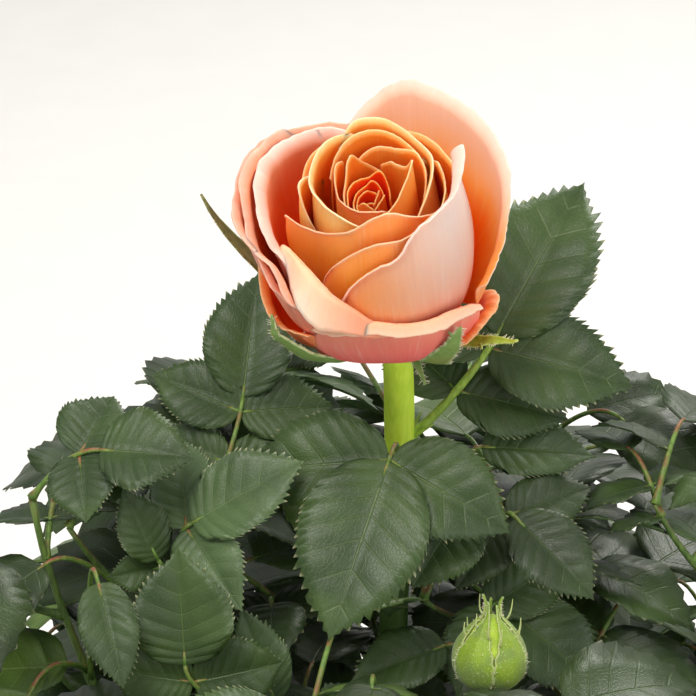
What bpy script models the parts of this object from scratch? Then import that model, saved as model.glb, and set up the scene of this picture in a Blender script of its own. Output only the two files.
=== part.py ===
"""A patio rose bush: a woody base, seven canes, leafy shoots, one open bloom and one bud.

Lengths are in millimetres up to the moment a mesh is made, where MM turns them into metres.
Azimuths are in degrees about +Z: 0 is +X, 90 is +Y, and the bloom leans towards -Y.
"""

import math
import random

import bmesh
import bpy
from mathutils import Euler, Matrix, Vector
from mathutils.bvhtree import BVHTree

MM = 0.001
SEAT_GAP = 0.3          # clearance between two pieces that touch on the living plant
CLEARANCE = 0.6         # what a leaf keeps from the pieces of other nodes

# ---- woody base ------------------------------------------------------------------------------
# radius and height, from the cut at the ground up
BASE_PROFILE = [(24.0, 0), (19.5, 5), (16.5, 13), (15.5, 24), (16.5, 33), (15.0, 42), (8.5, 48)]
BASE_SIDES = 12
BASE_LEAN = (0.06, 0.03)                 # sideways travel per millimetre of height
ROOT_FLARE = 0.16                        # how far the root swellings stand out at the ground
KNOB = Vector((2.0, 1.0, 33.0))          # the canes spread from this point

# ---- canes: name -> azimuth, spread from vertical at the foot, reach, height of the tip -------
CANES = {
    "cane_front_left": (238, 58, 70, 165),
    "cane_front_right": (304, 55, 66, 170),
    "cane_right": (4, 58, 78, 178),
    "cane_back_right": (63, 54, 72, 186),
    "cane_back_left": (121, 58, 74, 180),
    "cane_left": (180, 54, 76, 182),
    "cane_flower": (92, 8, 9, 236),
}
CANE_RADII = (4.4, 3.0)
FLOWER_CANE_RADII = (5.0, 4.1)
CANE_SIDES = 7
CANE_RINGS = 7

# ---- flower stem, calyx and bloom -------------------------------------------------------------
BLOOM_BASE = Vector((0.0, 0.0, 409.3))
BLOOM_TILT = Euler((math.radians(22), math.radians(-5), 0))
BLOOM_FRAME = Matrix.Translation(BLOOM_BASE) @ BLOOM_TILT.to_matrix().to_4x4()
STEM_RADII = (4.0, 3.75)
HIP = [(3.6, -9.5), (4.6, -8.0), (6.6, -5.0), (7.2, -2.4), (6.0, -0.7)]      # radius, height under the petals
PETAL_THICKNESS = 1.1
SEPAL_LIFT = 1.1                         # how far the sepals lie off the petals

# ---- bud ----------------------------------------------------------------------------------------
BUD_BASE = Vector((24.4, -41.0, 318.5))
BUD_LEAN = Euler((math.radians(-9), math.radians(2), 0))
BUD_FRAME = Matrix.Translation(BUD_BASE) @ BUD_LEAN.to_matrix().to_4x4()
BUD_PROFILE = [(1.6, 0), (3.4, 1.2), (4.2, 3.0), (5.2, 4.2), (8.0, 7.0), (8.9, 11.0), (8.0, 15.0),
               (5.2, 19.2), (2.0, 22.6)]
BUD_TIPS = 5

# ---- leaves ---------------------------------------------------------------------------------------
LEAF_THICKNESS = 1.2
ROOT_SINK = 0.4                          # how deep a leaflet's foot sits in its stalk
NEAR_OUTLINE = [(0.30, 0.46), (0.68, 0.40)]        # along and across, as shares of length and width
RULE_OUTLINE = [(0.46, 0.50)]
RACHIS_RADII = (1.3, 1.1)
RACHIS_SIDES = 4
RACHIS_STEPS = 2
TWIG_RADII = (2.1, 1.2)
PAIR_ANGLE = 76
PAIR_SPACING = 14.0
PHYLLOTAXIS = 144
LEAF_SPACING = 54.0
ATTEMPTS = 5

# The crown stands open in front of the bloom: there the shoots keep below this slope.
OPEN_FRONT_X = (-74.0, 50.0)
SLOPE_UP = Vector((0, 0.469, 0.883))
SLOPE_OUT = Vector((0, -0.883, 0.469))
SLOPE_AT = Vector((0, 0, 397.8))
OPEN_BELOW = -92.0
OPEN_BEHIND = -52.0
OPEN_BEHIND_TOP = -38.0

# Shoots: name -> cane, place along it (1 = its tip) and tip (x, y, z); the bud sits on the one without a tip
NAMED_SHOOTS = {
    "shoot_front_left": ("cane_front_left", 1.0, (-43.0, -38.0, 312.0)),
    "shoot_bud": ("cane_front_right", 1.0, None),
    "shoot_right": ("cane_right", 1.0, (32.0, 2.0, 338.0)),
    "shoot_left": ("cane_left", 1.0, (-50.0, -4.0, 340.0)),
    "shoot_far_left": ("cane_left", 0.8, (-92.0, -14.0, 362.0)),
}
RULE_SHOOTS = {
    "low": (0.34, 27, 142, 168),         # place along the cane, turn, reach, height of the tip
    "mid": (0.66, -27, 140, 250),
}
TOP_SHOOTS = {
    "shoot_back_right": ("cane_back_right", 1.0, 58, 88, 330),
    "shoot_back_left": ("cane_back_left", 1.0, 122, 84, 338),
    "shoot_far_right": ("cane_right", 0.8, 8, 104, 345),
    "shoot_back": ("cane_flower", 0.62, 88, 62, 318),
}

# Leaves near the bloom: owner, foot of the end leaflet, its tip, width share, pairs, first pair's distance
STALK_RISE = {"leaf_right": 30}          # climb of a stalk from the flower stem; 16 mm for the others
NEAR_LEAVES = {
    "leaf_front": ("flower_stem", (-1.0, -15.3, 373.2), (-16.2, -46.8, 339.5), 0.66, 1, 1.5),
    "leaf_right": ("flower_stem", (27.9, 23.7, 389.1), (52.1, 56.4, 418.7), 0.62, 2, 4.0),
    "leaf_back": ("flower_stem", (-16.0, 45.8, 384.0), (-30.0, 66.0, 396.0), 0.60, 1, 8.0),
    "upper": ("shoot_left", (-38.9, 18.7, 373.3), (-35.2, 43.1, 397.9), 0.66, 2, 4.0),
    "inner": ("shoot_left", (-50.9, -20.9, 358.5), (-22.1, -18.6, 375.6), 0.62, 1, 3.0),
    "outer": ("shoot_left", (-59.8, -21.9, 348.1), (-68.7, -16.7, 366.3), 0.62, 1, 4.0),
    "lift": ("shoot_front_left", (-52.5, -41.2, 328.8), (-53.8, -34.1, 359.2), 0.80, 1, 6.0),
    "spike": ("shoot_front_left", (-30.0, -33.0, 312.0), (-38.5, -27.0, 337.0), 0.50, 0, 4.0),
    "low": ("shoot_front_left", (-23.2, -57.7, 316.0), (-61.3, -61.9, 323.0), 0.60, 0, 4.0),
    "reach": ("shoot_far_left", (-73.7, -19.1, 378.9), (-49.8, -23.5, 379.1), 0.90, 1, 6.0),
    "hang": ("shoot_far_left", (-74.0, -36.0, 350.0), (-67.0, -55.0, 330.6), 0.50, 0, 4.0),
    "spread": ("shoot_right", (32.0, -9.9, 353.6), (52.0, -26.7, 339.0), 0.62, 1, 5.0),
    "near": ("shoot_right", (19.0, -9.0, 357.0), (5.0, -27.0, 342.5), 0.80, 0, 4.0),
    "high": ("shoot_right", (24.0, 12.0, 362.0), (54.0, 9.0, 361.0), 0.55, 0, 4.0),
    "under": ("shoot_bud", (14.0, -22.0, 322.0), (-11.0, -30.0, 316.0), 0.60, 0, 4.0),
    "round": ("shoot_bud", (30.0, -6.4, 324.0), (56.0, -20.5, 306.5), 0.64, 1, 5.0),
}
FACE_TO_LIGHT = Vector((0.0, -0.55, 0.83))


# ==== small helpers ================================================================================
def clear_scene():
    for item in list(bpy.data.objects):
        bpy.data.objects.remove(item, do_unlink=True)


def paint(name, colour, roughness):
    material = bpy.data.materials.new(name)
    material.use_nodes = True
    shader = material.node_tree.nodes["Principled BSDF"]
    shader.inputs["Base Color"].default_value = (*colour, 1)
    shader.inputs["Roughness"].default_value = roughness
    shader.inputs["Metallic"].default_value = 0.0
    return material


def make_object(name, bm, material=None):
    """Turn a bmesh in millimetres into an object in metres."""
    bmesh.ops.scale(bm, vec=(MM, MM, MM), verts=bm.verts)
    mesh = bpy.data.meshes.new(name)
    bm.to_mesh(mesh)
    bm.free()
    item = bpy.data.objects.new(name, mesh)
    bpy.context.scene.collection.objects.link(item)
    if material:
        mesh.materials.append(material)
    return item


def hermite(start, start_dir, end, end_dir, steps, pull=1.0):
    """Points on a smooth curve that leaves start along start_dir and reaches end along end_dir."""
    span = (end - start).length * pull
    a, b = start_dir.normalized() * span, end_dir.normalized() * span
    points = []
    for i in range(steps + 1):
        t = i / steps
        points.append(start * (2 * t**3 - 3 * t**2 + 1) + a * (t**3 - 2 * t**2 + t)
                      + end * (3 * t**2 - 2 * t**3) + b * (t**3 - t**2))
    return points


def direction_of(points, i):
    return (points[min(i + 1, len(points) - 1)] - points[max(i - 1, 0)]).normalized()


def tube(points, start_radius, end_radius, sides, up=None):
    """A closed tapering tube with flat caps: a ring of corners at each point, with a flat side facing up."""
    bm = bmesh.new()
    rings = []
    up = up or direction_of(points, 0).orthogonal()
    for i, point in enumerate(points):
        radius = start_radius + (end_radius - start_radius) * i / (len(points) - 1)
        grain = direction_of(points, i)
        up = (up - grain * up.dot(grain)).normalized()
        across = grain.cross(up)
        ring = []
        for k in range(sides):
            angle = math.tau * (k + 0.5) / sides
            ring.append(bm.verts.new(point + (up * math.cos(angle) + across * math.sin(angle)) * radius))
        rings.append(ring)
    for low, high in zip(rings, rings[1:]):
        for k in range(sides):
            bm.faces.new((low[k], low[(k + 1) % sides], high[(k + 1) % sides], high[k]))
    bm.faces.new(list(reversed(rings[0])))
    bm.faces.new(rings[-1])
    bmesh.ops.recalc_face_normals(bm, faces=bm.faces)
    return bm


def turned(profile, sides, matrix=Matrix.Identity(4), swell=None):
    """A closed solid of revolution through (radius, height) points, with flat ends."""
    bm = bmesh.new()
    rings = []
    for radius, height in profile:
        ring = []
        for k in range(sides):
            angle = math.tau * k / sides
            r = radius * (swell(angle, height) if swell else 1)
            ring.append(bm.verts.new(matrix @ Vector((r * math.cos(angle), r * math.sin(angle), height))))
        rings.append(ring)
    for low, high in zip(rings, rings[1:]):
        for k in range(sides):
            bm.faces.new((low[k], low[(k + 1) % sides], high[(k + 1) % sides], high[k]))
    bm.faces.new(list(reversed(rings[0])))
    bm.faces.new(rings[-1])
    return bm


def bvh_of(bm):
    bm.normal_update()
    return BVHTree.FromBMesh(bm)


def outside(bvh, point):
    """Signed distance from a point to a closed surface, positive outside."""
    place, normal, _, distance = bvh.find_nearest(point)
    return distance if (point - place).dot(normal) > 0 else -distance


def seated(bvh, origin, heading, radius):
    """The nearest point along heading from which a tube's flat foot clears the surface by SEAT_GAP."""
    heading = heading.normalized()
    side = heading.orthogonal().normalized()
    other = heading.cross(side)
    reach = 0.0
    while reach < 60:
        foot = origin + heading * reach
        rim = [foot] + [foot + (side * math.cos(a) + other * math.sin(a)) * radius
                        for a in (math.tau * k / 8 for k in range(8))]
        if min(outside(bvh, p) for p in rim) > SEAT_GAP:
            return foot
        reach += 0.1
    raise ValueError("no seat found")


def fuse(name, bms, material):
    """Join closed shapes into one solid by a Boolean union, and keep its outer skin only."""
    body = united(name, [make_object(name + "_piece", bm) for bm in bms])
    keep_largest(body)
    body.name = name
    body.data.name = name
    body.data.materials.clear()
    body.data.materials.append(material)
    return body


def united(name, pieces):
    body, rest = pieces[0], pieces[1:]
    group = bpy.data.collections.new(name + "_pieces")
    bpy.context.scene.collection.children.link(group)
    for piece in rest:
        bpy.context.scene.collection.objects.unlink(piece)
        group.objects.link(piece)
    union = body.modifiers.new("union", "BOOLEAN")
    union.operation = "UNION"
    union.solver = "MANIFOLD"
    union.operand_type = "COLLECTION"
    union.collection = group
    depsgraph = bpy.context.evaluated_depsgraph_get()
    mesh = bpy.data.meshes.new_from_object(body.evaluated_get(depsgraph))
    body.modifiers.clear()
    body.data = mesh
    for piece in rest:
        bpy.data.objects.remove(piece, do_unlink=True)
    bpy.data.collections.remove(group)
    return body


def keep_largest(item):
    """Drop sealed hollows and loose scraps: only the biggest connected skin stays."""
    bm = bmesh.new()
    bm.from_mesh(item.data)
    left = set(bm.verts)
    islands = []
    while left:
        seed = left.pop()
        island, front = [seed], [seed]
        while front:
            vert = front.pop()
            for edge in vert.link_edges:
                other = edge.other_vert(vert)
                if other in left:
                    left.remove(other)
                    island.append(other)
                    front.append(other)
        islands.append(island)
    islands.sort(key=len, reverse=True)
    scraps = [v for island in islands[1:] for v in island]
    if scraps:
        print(f"  {item.name}: dropped {len(islands) - 1} scraps of {len(scraps)} corners")
        bmesh.ops.delete(bm, geom=scraps, context="VERTS")
    bm.to_mesh(item.data)
    bm.free()


# ==== base and canes =================================================================================
def base_swell(angle, height):
    flare = ROOT_FLARE * max(0.0, 1 - height / 16.0)
    return 1 + flare * math.cos(3 * angle + 0.6) + 0.05 * math.cos(2 * angle + height * 0.08)


def base_bmesh():
    bm = turned(BASE_PROFILE, BASE_SIDES, swell=base_swell)
    for vert in bm.verts:
        vert.co.x += BASE_LEAN[0] * vert.co.z
        vert.co.y += BASE_LEAN[1] * vert.co.z
    return bm


def cane_points(name, base_bvh):
    azimuth, spread, reach, top = CANES[name]
    flat = Vector((math.cos(math.radians(azimuth)), math.sin(math.radians(azimuth)), 0))
    lean = math.radians(spread)
    heading = flat * math.sin(lean) + Vector((0, 0, math.cos(lean)))
    radius = cane_radii(name)[0]
    foot = seated(base_bvh, KNOB, heading, radius)
    tip = flat * reach + Vector((0, 0, top))
    arrive = flat * 0.12 + Vector((0, 0, 1))
    return hermite(foot, heading, tip, arrive, CANE_RINGS - 1)


def cane_radii(name):
    return FLOWER_CANE_RADII if name == "cane_flower" else CANE_RADII


# ==== shoots ===========================================================================================
def along(points, share):
    """Point and direction at a share of a curve."""
    place = min(max(share, 0.0), 1.0) * (len(points) - 1)
    i = min(int(place), len(points) - 2)
    return points[i].lerp(points[i + 1], place - i), (points[i + 1] - points[i]).normalized()


def at_height(points, height):
    """The place where a rising line reaches a height."""
    for a, b in zip(points, points[1:]):
        if b.z >= height:
            return a.lerp(b, (height - a.z) / (b.z - a.z))
    return points[-1]


def shoot_points(cane, cane_bvh, place, tip, finish=None):
    """A shoot's line: on from the cane's tip, or out of its side, and straight along finish at its end."""
    up = Vector((0, 0, 1))
    if place >= 1.0:
        heading = direction_of(cane, len(cane) - 1)
        foot = cane[-1] + heading * SEAT_GAP
    else:
        origin, grain = along(cane, place)
        out = (tip - origin)
        out = (out - grain * out.dot(grain)).normalized()
        heading = (out + grain * 0.55).normalized()
        foot = seated(cane_bvh, origin, heading, TWIG_RADII[0])
    if finish:
        return [foot] + hermite(foot + heading * 4, heading, tip - finish * 4, finish, 4) + [tip]
    arrive = (tip - foot).normalized() + up * 0.7
    return [foot] + hermite(foot + heading * 4, heading, tip, arrive, 4)


def polar(azimuth, reach, height):
    turn = math.radians(azimuth)
    return Vector((reach * math.cos(turn), reach * math.sin(turn), height))


# ==== leaves =============================================================================================
def leaflet(base, tip, width, face, outline, fold=0.22, arch=0.07):
    """What a leaflet is: its foot, tip, width, and the frame it lies in."""
    axis = tip - base
    length = axis.length
    axis.normalize()
    normal = (face - axis * face.dot(axis)).normalized()
    return {"base": base, "tip": tip, "length": length, "width": width, "axis": axis,
            "normal": normal, "side": axis.cross(normal), "outline": outline, "fold": fold, "arch": arch}


def leaflet_bmesh(leaf, grow=0.0):
    """A thin folded blade: an outline of six corners round a raised top and a bottom point."""
    bm = bmesh.new()
    width = leaf["width"] + grow
    length = leaf["length"]

    def spot(t, w, lift=0.0):
        rise = leaf["fold"] * abs(w) * width + leaf["arch"] * length * 4 * t * (1 - t) + lift
        return leaf["base"] + leaf["axis"] * (t * length) + leaf["side"] * (w * width) + leaf["normal"] * rise

    start = leaf["base"] - leaf["axis"] * ROOT_SINK
    ring = [bm.verts.new(start)]
    ring += [bm.verts.new(spot(t, w)) for t, w in leaf["outline"]]
    ring.append(bm.verts.new(spot(1 + grow / length / 2, 0)))
    ring += [bm.verts.new(spot(t, -w)) for t, w in reversed(leaf["outline"])]
    half = (LEAF_THICKNESS + grow) / 2
    top = bm.verts.new(spot(0.46, 0, half))
    bottom = bm.verts.new(spot(0.46, 0, -half))
    for one, two in zip(ring, ring[1:] + ring[:1]):
        bm.faces.new((one, two, top))
        bm.faces.new((two, one, bottom))
    bmesh.ops.recalc_face_normals(bm, faces=bm.faces)
    return bm


def compound_leaf(root, leave, foot, tip, width_share, pairs, face, outline, first, rng):
    """Rachis line and leaflets of one leaf: a terminal leaflet and opposite pairs down the stalk."""
    axis = (tip - foot).normalized()
    normal = (face - axis * face.dot(axis)).normalized()
    side = axis.cross(normal)
    length = (tip - foot).length
    line = hermite(root, leave, foot, axis, RACHIS_STEPS, 0.9)
    stalk = sum((b - a).length for a, b in zip(line, line[1:]))
    leaflets = [leaflet(foot, tip, length * width_share, face, outline, 0.20 + rng.uniform(0, 0.1), 0.06)]
    for pair in range(pairs):
        place, _ = along(line, 1 - (first + PAIR_SPACING * pair) / stalk)
        reach = length * (0.80 - 0.17 * pair)
        for hand in (-1, 1):
            angle = math.radians(PAIR_ANGLE + rng.uniform(-7, 7))
            run = axis * math.cos(angle) + side * (hand * math.sin(angle)) - normal * rng.uniform(0.02, 0.16)
            size = reach * rng.uniform(0.92, 1.06)
            leaflets.append(leaflet(place, place + run.normalized() * size, size * width_share * 1.02,
                                    normal, outline, 0.20 + rng.uniform(0, 0.1), 0.06))
    return line, leaflets


def rule_leaf(shoot, name, slot, attempt):
    """A leaf where the growth rule puts it: round the shoot by the leaf angle, rising, then nodding."""
    rng = random.Random(f"{name}:{slot}:{attempt}")
    total = sum((b - a).length for a, b in zip(shoot, shoot[1:]))
    place = (16.0 + slot * LEAF_SPACING) / total
    root, grain = along(shoot, place)
    side = grain.orthogonal().normalized()
    turn = math.radians(PHYLLOTAXIS * slot + 37 * len(name) + attempt * 31 + rng.uniform(-14, 14))
    round_ = side * math.cos(turn) + grain.cross(side) * math.sin(turn)
    outward = Vector((root.x, root.y, 0)).normalized() if Vector((root.x, root.y, 0)).length > 1 else round_
    heading = (round_ + outward * 0.35)
    heading.z = 0
    heading.normalize()
    size = rng.uniform(0.86, 1.08) * (1.0 - 0.10 * attempt) * (0.80 if place > 0.85 else 1.0)
    rise, nod = math.radians(rng.uniform(22, 46)), math.radians(rng.uniform(4, 34))
    up = Vector((0, 0, 1))
    leave = heading * math.cos(rise + 0.3) + up * math.sin(rise + 0.3)
    foot = root + (heading * math.cos(rise) + up * math.sin(rise)) * 46 * size
    tip = foot + (heading * math.cos(nod) - up * math.sin(nod)) * 55 * size
    face = up + heading * 0.25 + Vector((rng.uniform(-0.25, 0.25), rng.uniform(-0.25, 0.25), 0))
    pairs = 2 if place < 0.9 else 1
    width_share = rng.uniform(0.60, 0.70)
    return compound_leaf(root, leave, foot, tip, width_share, pairs, face, RULE_OUTLINE, 13.0, rng)


def in_open_front(point):
    """True where a leaf would stand in the open space in front of the bloom."""
    if not OPEN_FRONT_X[0] < point.x < OPEN_FRONT_X[1]:
        return False
    rel = point - SLOPE_AT
    height, out = rel.dot(SLOPE_UP), rel.dot(SLOPE_OUT)
    if height < OPEN_BELOW:
        return False
    return not (out < OPEN_BEHIND and height < OPEN_BEHIND_TOP)


class Space:
    """Remembers what already stands where, so that no node reaches into another."""

    def __init__(self):
        self.kept = []

    def add(self, owner, bm):
        corners = [v.co for v in bm.verts]
        low = Vector([min(c[i] for c in corners) for i in range(3)])
        high = Vector([max(c[i] for c in corners) for i in range(3)])
        self.kept.append((owner, low, high, bvh_of(bm)))

    def hit(self, bm, *skip):
        corners = [v.co for v in bm.verts]
        low = Vector([min(c[i] for c in corners) - CLEARANCE for i in range(3)])
        high = Vector([max(c[i] for c in corners) + CLEARANCE for i in range(3)])
        tree = None
        for owner, other_low, other_high, other in self.kept:
            if owner in skip:
                continue
            if any(low[i] > other_high[i] or high[i] < other_low[i] for i in range(3)):
                continue
            tree = tree or bvh_of(bm)
            if tree.overlap(other):
                return owner
        return None


def place_leaf(space, owner, line, leaflets, rule):
    """Meshes of the rachis and of each leaflet that keeps clear of everything else."""
    up = leaflets[0]["normal"]
    rough = tube(line, RACHIS_RADII[0] + CLEARANCE, RACHIS_RADII[1] + CLEARANCE, RACHIS_SIDES, up)
    blocked = space.hit(rough, owner, owner + "_stem")
    rough.free()
    rough = tube(line[1:], *RACHIS_RADII, RACHIS_SIDES, up)
    blocked = blocked or space.hit(rough, owner + "_stem")
    rough.free()
    if blocked:
        return [], blocked
    kept = []
    for number, leaf in enumerate(leaflets):
        test = leaflet_bmesh(leaf, CLEARANCE)
        blocked = space.hit(test, owner + "_stem")
        low = min(v.co.z for v in test.verts) < 12
        test.free()
        away = rule and (in_open_front(leaf["tip"]) or in_open_front(leaf["base"].lerp(leaf["tip"], 0.5)))
        if blocked or low or away:
            if number == 0:
                return [], blocked or "space"
            continue
        kept.append(leaf)
    bms = [tube(line, *RACHIS_RADII, RACHIS_SIDES, up)] + [leaflet_bmesh(leaf) for leaf in kept]
    for bm in bms:
        space.add(owner, bm)
    return bms, None


# ==== bloom ==============================================================================================
# A petal is told by its rim: places round the bloom's axis as angle, radius and height, and sometimes how
# wide the lip is there. Belly and sag place the curve from the foot, and the lip rolls or folds at the top.
PETAL = dict(belly=22, sag=0, lean=92, lip=3.0, roll=50, fold=0, foot=0.6, wave=0.3, freq=2.0, phase=0.0)
BODY = 0.8                               # share of a petal's length under the lip
FOOT = 0.12                              # share of a petal's length that stays inside the hip
LIP_STEPS = 10
GUARD_PETALS = [
    # tall, right and back
    dict(belly=25, lean=84, lip=4.5, roll=60, phase=1.0,
         rim=[(64, 26, 19), (76, 28, 22.5), (88, 30, 26), (97, 32, 32.5), (107, 33, 39.5),
              (132, 33, 45.5), (153, 33, 48), (165, 33, 49), (178, 32.5, 45), (202, 29, 33)]),
    # left and back, outermost
    dict(belly=26, lean=86, lip=4, roll=60, phase=0.3, wave=0.5, freq=4,
         rim=[(-178, 29, 34), (-142, 32, 42.5), (-110, 34.5, 46), (-86, 36, 44), (-68, 35, 41.5),
              (-50, 33, 33)]),
    # left, wavy rim
    dict(belly=25, lean=88, lip=4, roll=70, phase=2, wave=0.6, freq=5,
         rim=[(-150, 30, 40), (-122, 33, 46), (-96, 33.5, 48), (-78, 34, 41), (-56, 33, 37),
              (-44, 32, 29), (-36, 29.5, 23)]),
    # left, low
    dict(belly=26, sag=-1, lean=80, lip=4, roll=60,
         rim=[(-104, 31, 34), (-90, 32, 29), (-78, 32.5, 18), (-64, 31.5, 13), (-46, 29, 15)]),
    # left, rolled rim
    dict(belly=23, lean=90, lip=5, roll=75, phase=4, wave=0.4, freq=3,
         rim=[(-176, 26, 33), (-152, 30, 40), (-122, 30, 45), (-100, 30.5, 46.5), (-80, 30.5, 41.5),
              (-63, 30, 42), (-53, 30, 38.5), (-39, 28.5, 24.5)]),
    # front and right, upright
    dict(belly=26.5, sag=-1, lean=102, lip=2, roll=95, wave=0.1, foot=0.75,
         rim=[(-38, 22.5, 18), (-22, 22.5, 33), (-6, 22, 39.5), (9, 22, 42.5), (23, 21.5, 49.5),
              (44, 21, 51.5), (62, 20.5, 51, 1.4), (76, 21.5, 55, 2.8), (95, 21, 55.5, 2.8), (108, 21, 44)]),
    # front and left, folded out
    dict(belly=24, sag=-1, lean=100, lip=8, roll=135, fold=0.35, wave=0.2, freq=3,
         rim=[(-92, 23, 19, 0.2), (-86, 24.5, 29.5, 0.4), (-66, 24, 33.5, 0.8), (-48, 24, 34),
              (-30, 24, 28.5), (-12, 24, 23, 0.6), (2, 23.5, 20, 0.3)]),
    # front, low
    dict(belly=25.5, sag=-5, lean=98, lip=4.5, roll=150, fold=0.5, freq=3, phase=0.5,
         rim=[(-64, 23.5, 14, 0.3), (-36, 24.5, 20.5, 0.8), (-12, 24.5, 22.5), (12, 24.5, 21),
              (34, 24.5, 19.5), (50, 24.5, 16.5, 0.8), (62, 24.5, 12, 0.4)]),
    # right, low and flared
    dict(belly=22, sag=-2, lean=75, lip=5, roll=85, foot=0.7,
         rim=[(40, 25, 5), (50, 26.5, 7), (62, 27.5, 7.5), (76, 27.5, 6.5), (90, 26.5, 3), (104, 24, -3)]),
]
MIDDLE_PETALS = [
    # front, upper
    dict(belly=16, lean=99, lip=1.6, roll=35, foot=0.8, wave=0.15,
         rim=[(-98, 21, 26), (-86, 23.5, 39.5), (-79, 20.5, 38), (-66, 16.5, 37.5), (-48, 15.5, 41),
              (-28, 15.5, 45), (-8, 15.5, 50.5), (9, 15.5, 52), (32, 15.5, 47.5), (54, 15.5, 44)]),
    # front, lower
    dict(belly=19.5, lean=99, lip=1.6, roll=30, foot=0.8, wave=0.15,
         rim=[(-62, 19.5, 16), (-50, 19, 28.5), (-28, 19, 39), (-7, 19, 45), (16, 19, 46), (42, 19, 49),
              (60, 19, 46)]),
    # left round to the front
    dict(belly=17, lean=96, lip=2.6, roll=55, wave=0.1,
         rim=[(-168, 16, 47), (-149, 17, 49), (-123, 17, 50), (-95, 17, 47), (-74, 15, 46), (-46, 14, 46),
              (-14, 13, 43.5)]),
    # back round to the right
    dict(belly=18, lean=97, lip=2.4, roll=50, wave=0.1,
         rim=[(42, 12, 40.5), (72, 12.5, 47), (105, 14, 48), (138, 17, 45), (160, 18, 47.5),
              (176, 18, 50.5), (198, 18, 50.5), (216, 16, 46)]),
    # right, outer
    dict(belly=21, lean=95, lip=2.2, roll=50,
         rim=[(76, 19, 41), (100, 19.5, 44), (130, 20.5, 42.5), (160, 21, 43.5), (195, 20, 41)]),
]
HEART_PETALS = [
    # back
    dict(belly=12, lean=96, lip=1.6, roll=35, wave=0.1,
         rim=[(76, 11, 43), (94, 11.5, 47), (122, 11.5, 49.5), (152, 11, 47.5), (185, 11, 47.5),
              (222, 11, 42.5)]),
    # left, pointed
    dict(belly=10, lean=94, lip=1.4, roll=30, wave=0.1,
         rim=[(178, 9, 40.5), (205, 9, 45.5), (230, 9.5, 50.5), (256, 9.5, 46.5), (290, 9, 44.5),
              (320, 9, 43)]),
    # right, pointed
    dict(belly=10, lean=94, lip=1.4, roll=30, wave=0.1,
         rim=[(-34, 8, 41), (20, 8.5, 45.5), (60, 9, 49.5), (86, 9.5, 53), (106, 9, 48), (124, 8.5, 44)]),
]
HEART_CORE = [(5.0, -0.5), (14.0, 1.5), (21.0, 7.0), (20.5, 15.0), (14.5, 24.0), (10.0, 31.0), (5.0, 36.0)]


def rim_at(p, u):
    """Angle, radius, height and lip share of a petal's rim at u (-1 to 1 across), on a smooth line."""
    rim = [(*spot, 1.0)[:4] for spot in p["rim"]]
    place = (u + 1) / 2 * (len(rim) - 1)
    i = min(int(place), len(rim) - 2)
    t = place - i
    values = []
    for k in range(4):
        a, b, c, d = [rim[min(max(j, 0), len(rim) - 1)][k] for j in range(i - 1, i + 3)]
        values.append(b + 0.5 * t * (c - a + t * (2 * a - 5 * b + 4 * c - d + t * (3 * (b - c) + d - a))))
    return values


def curl(p, length, share):
    """How far out and up the lip has come at a share of its length; a fold turns early on."""
    bend = p["fold"] or 1.0
    spot = Vector((0, 0))
    for i in range(LIP_STEPS):
        angle = math.radians(p["lean"] - p["roll"] * min(1.0, share * (i + 0.5) / LIP_STEPS / bend))
        spot += Vector((math.cos(angle), math.sin(angle))) * (length * share / LIP_STEPS)
    return spot


def petal_point(p, u, s):
    """Place on a petal at u across and s up it (0 at the foot, 1 at the rim), in the bloom's own frame."""
    angle, radius, height, lip = rim_at(p, u)
    lip *= p["lip"]
    top = Vector((radius, height))
    if not p["fold"]:                    # the rim's places are the end of the lip, or else the fold's edge
        top -= curl(p, lip, 1.0)
    lean = math.radians(p["lean"])
    t = min(s / BODY, 1.0)
    foot, belly = Vector((2.2, 0)), Vector((p["belly"], p["sag"]))
    chest = top - Vector((math.cos(lean), math.sin(lean))) * max(height, 12) * 0.42
    spot = foot * (1 - t) ** 3 + belly * (3 * t * (1 - t) ** 2) + chest * (3 * t * t * (1 - t)) + top * t ** 3
    if s > BODY:
        spot += curl(p, lip, (s - BODY) / (1 - BODY))
    rho = spot.x + p["wave"] * math.sin(p["freq"] * u * math.pi + p["phase"]) * s ** 3
    z = spot.y + p["wave"] * 0.7 * math.sin(p["freq"] * 1.7 * u * math.pi + p["phase"] * 2.1) * s ** 4
    middle = (p["rim"][0][0] + p["rim"][-1][0]) / 2
    ease = min(1.0, s * 1.35)
    share = p["foot"] + (1 - p["foot"]) * ease * ease * (3 - 2 * ease)
    theta = math.radians(middle + (angle - middle) * share)
    return Vector((math.sin(theta) * rho, -math.cos(theta) * rho, z))


def petal_bmesh(p, columns, rows):
    """One petal: a grid laid on its surface, its last row the lip, and given a thickness."""
    p = {**PETAL, **p}
    bm = bmesh.new()
    bmesh.ops.create_grid(bm, x_segments=columns, y_segments=rows, size=1.0)
    for vert in bm.verts:
        row = round((vert.co.y + 1) / 2 * rows)
        s = FOOT + (BODY - FOOT) * row / (rows - 1) if row < rows else 1.0
        vert.co = BLOOM_FRAME @ petal_point(p, vert.co.x, s)
    item = make_object("petal", bm)
    shell = item.modifiers.new("thickness", "SOLIDIFY")
    shell.thickness = PETAL_THICKNESS * MM
    shell.offset = 0
    depsgraph = bpy.context.evaluated_depsgraph_get()
    bm = bmesh.new()
    bm.from_object(item, depsgraph)
    bpy.data.objects.remove(item, do_unlink=True)
    bmesh.ops.scale(bm, vec=(1 / MM, 1 / MM, 1 / MM), verts=bm.verts)
    bmesh.ops.triangulate(bm, faces=bm.faces)
    bmesh.ops.recalc_face_normals(bm, faces=bm.faces)
    return bm


def build_bloom(material):
    pieces = [turned(HEART_CORE, 12, BLOOM_FRAME)]
    pieces += [petal_bmesh(p, 6, 4) for p in GUARD_PETALS]
    pieces += [petal_bmesh(p, 5, 3) for p in MIDDLE_PETALS]
    pieces += [petal_bmesh(p, 4, 2) for p in HEART_PETALS]
    return fuse("bloom", pieces, material)


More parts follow.
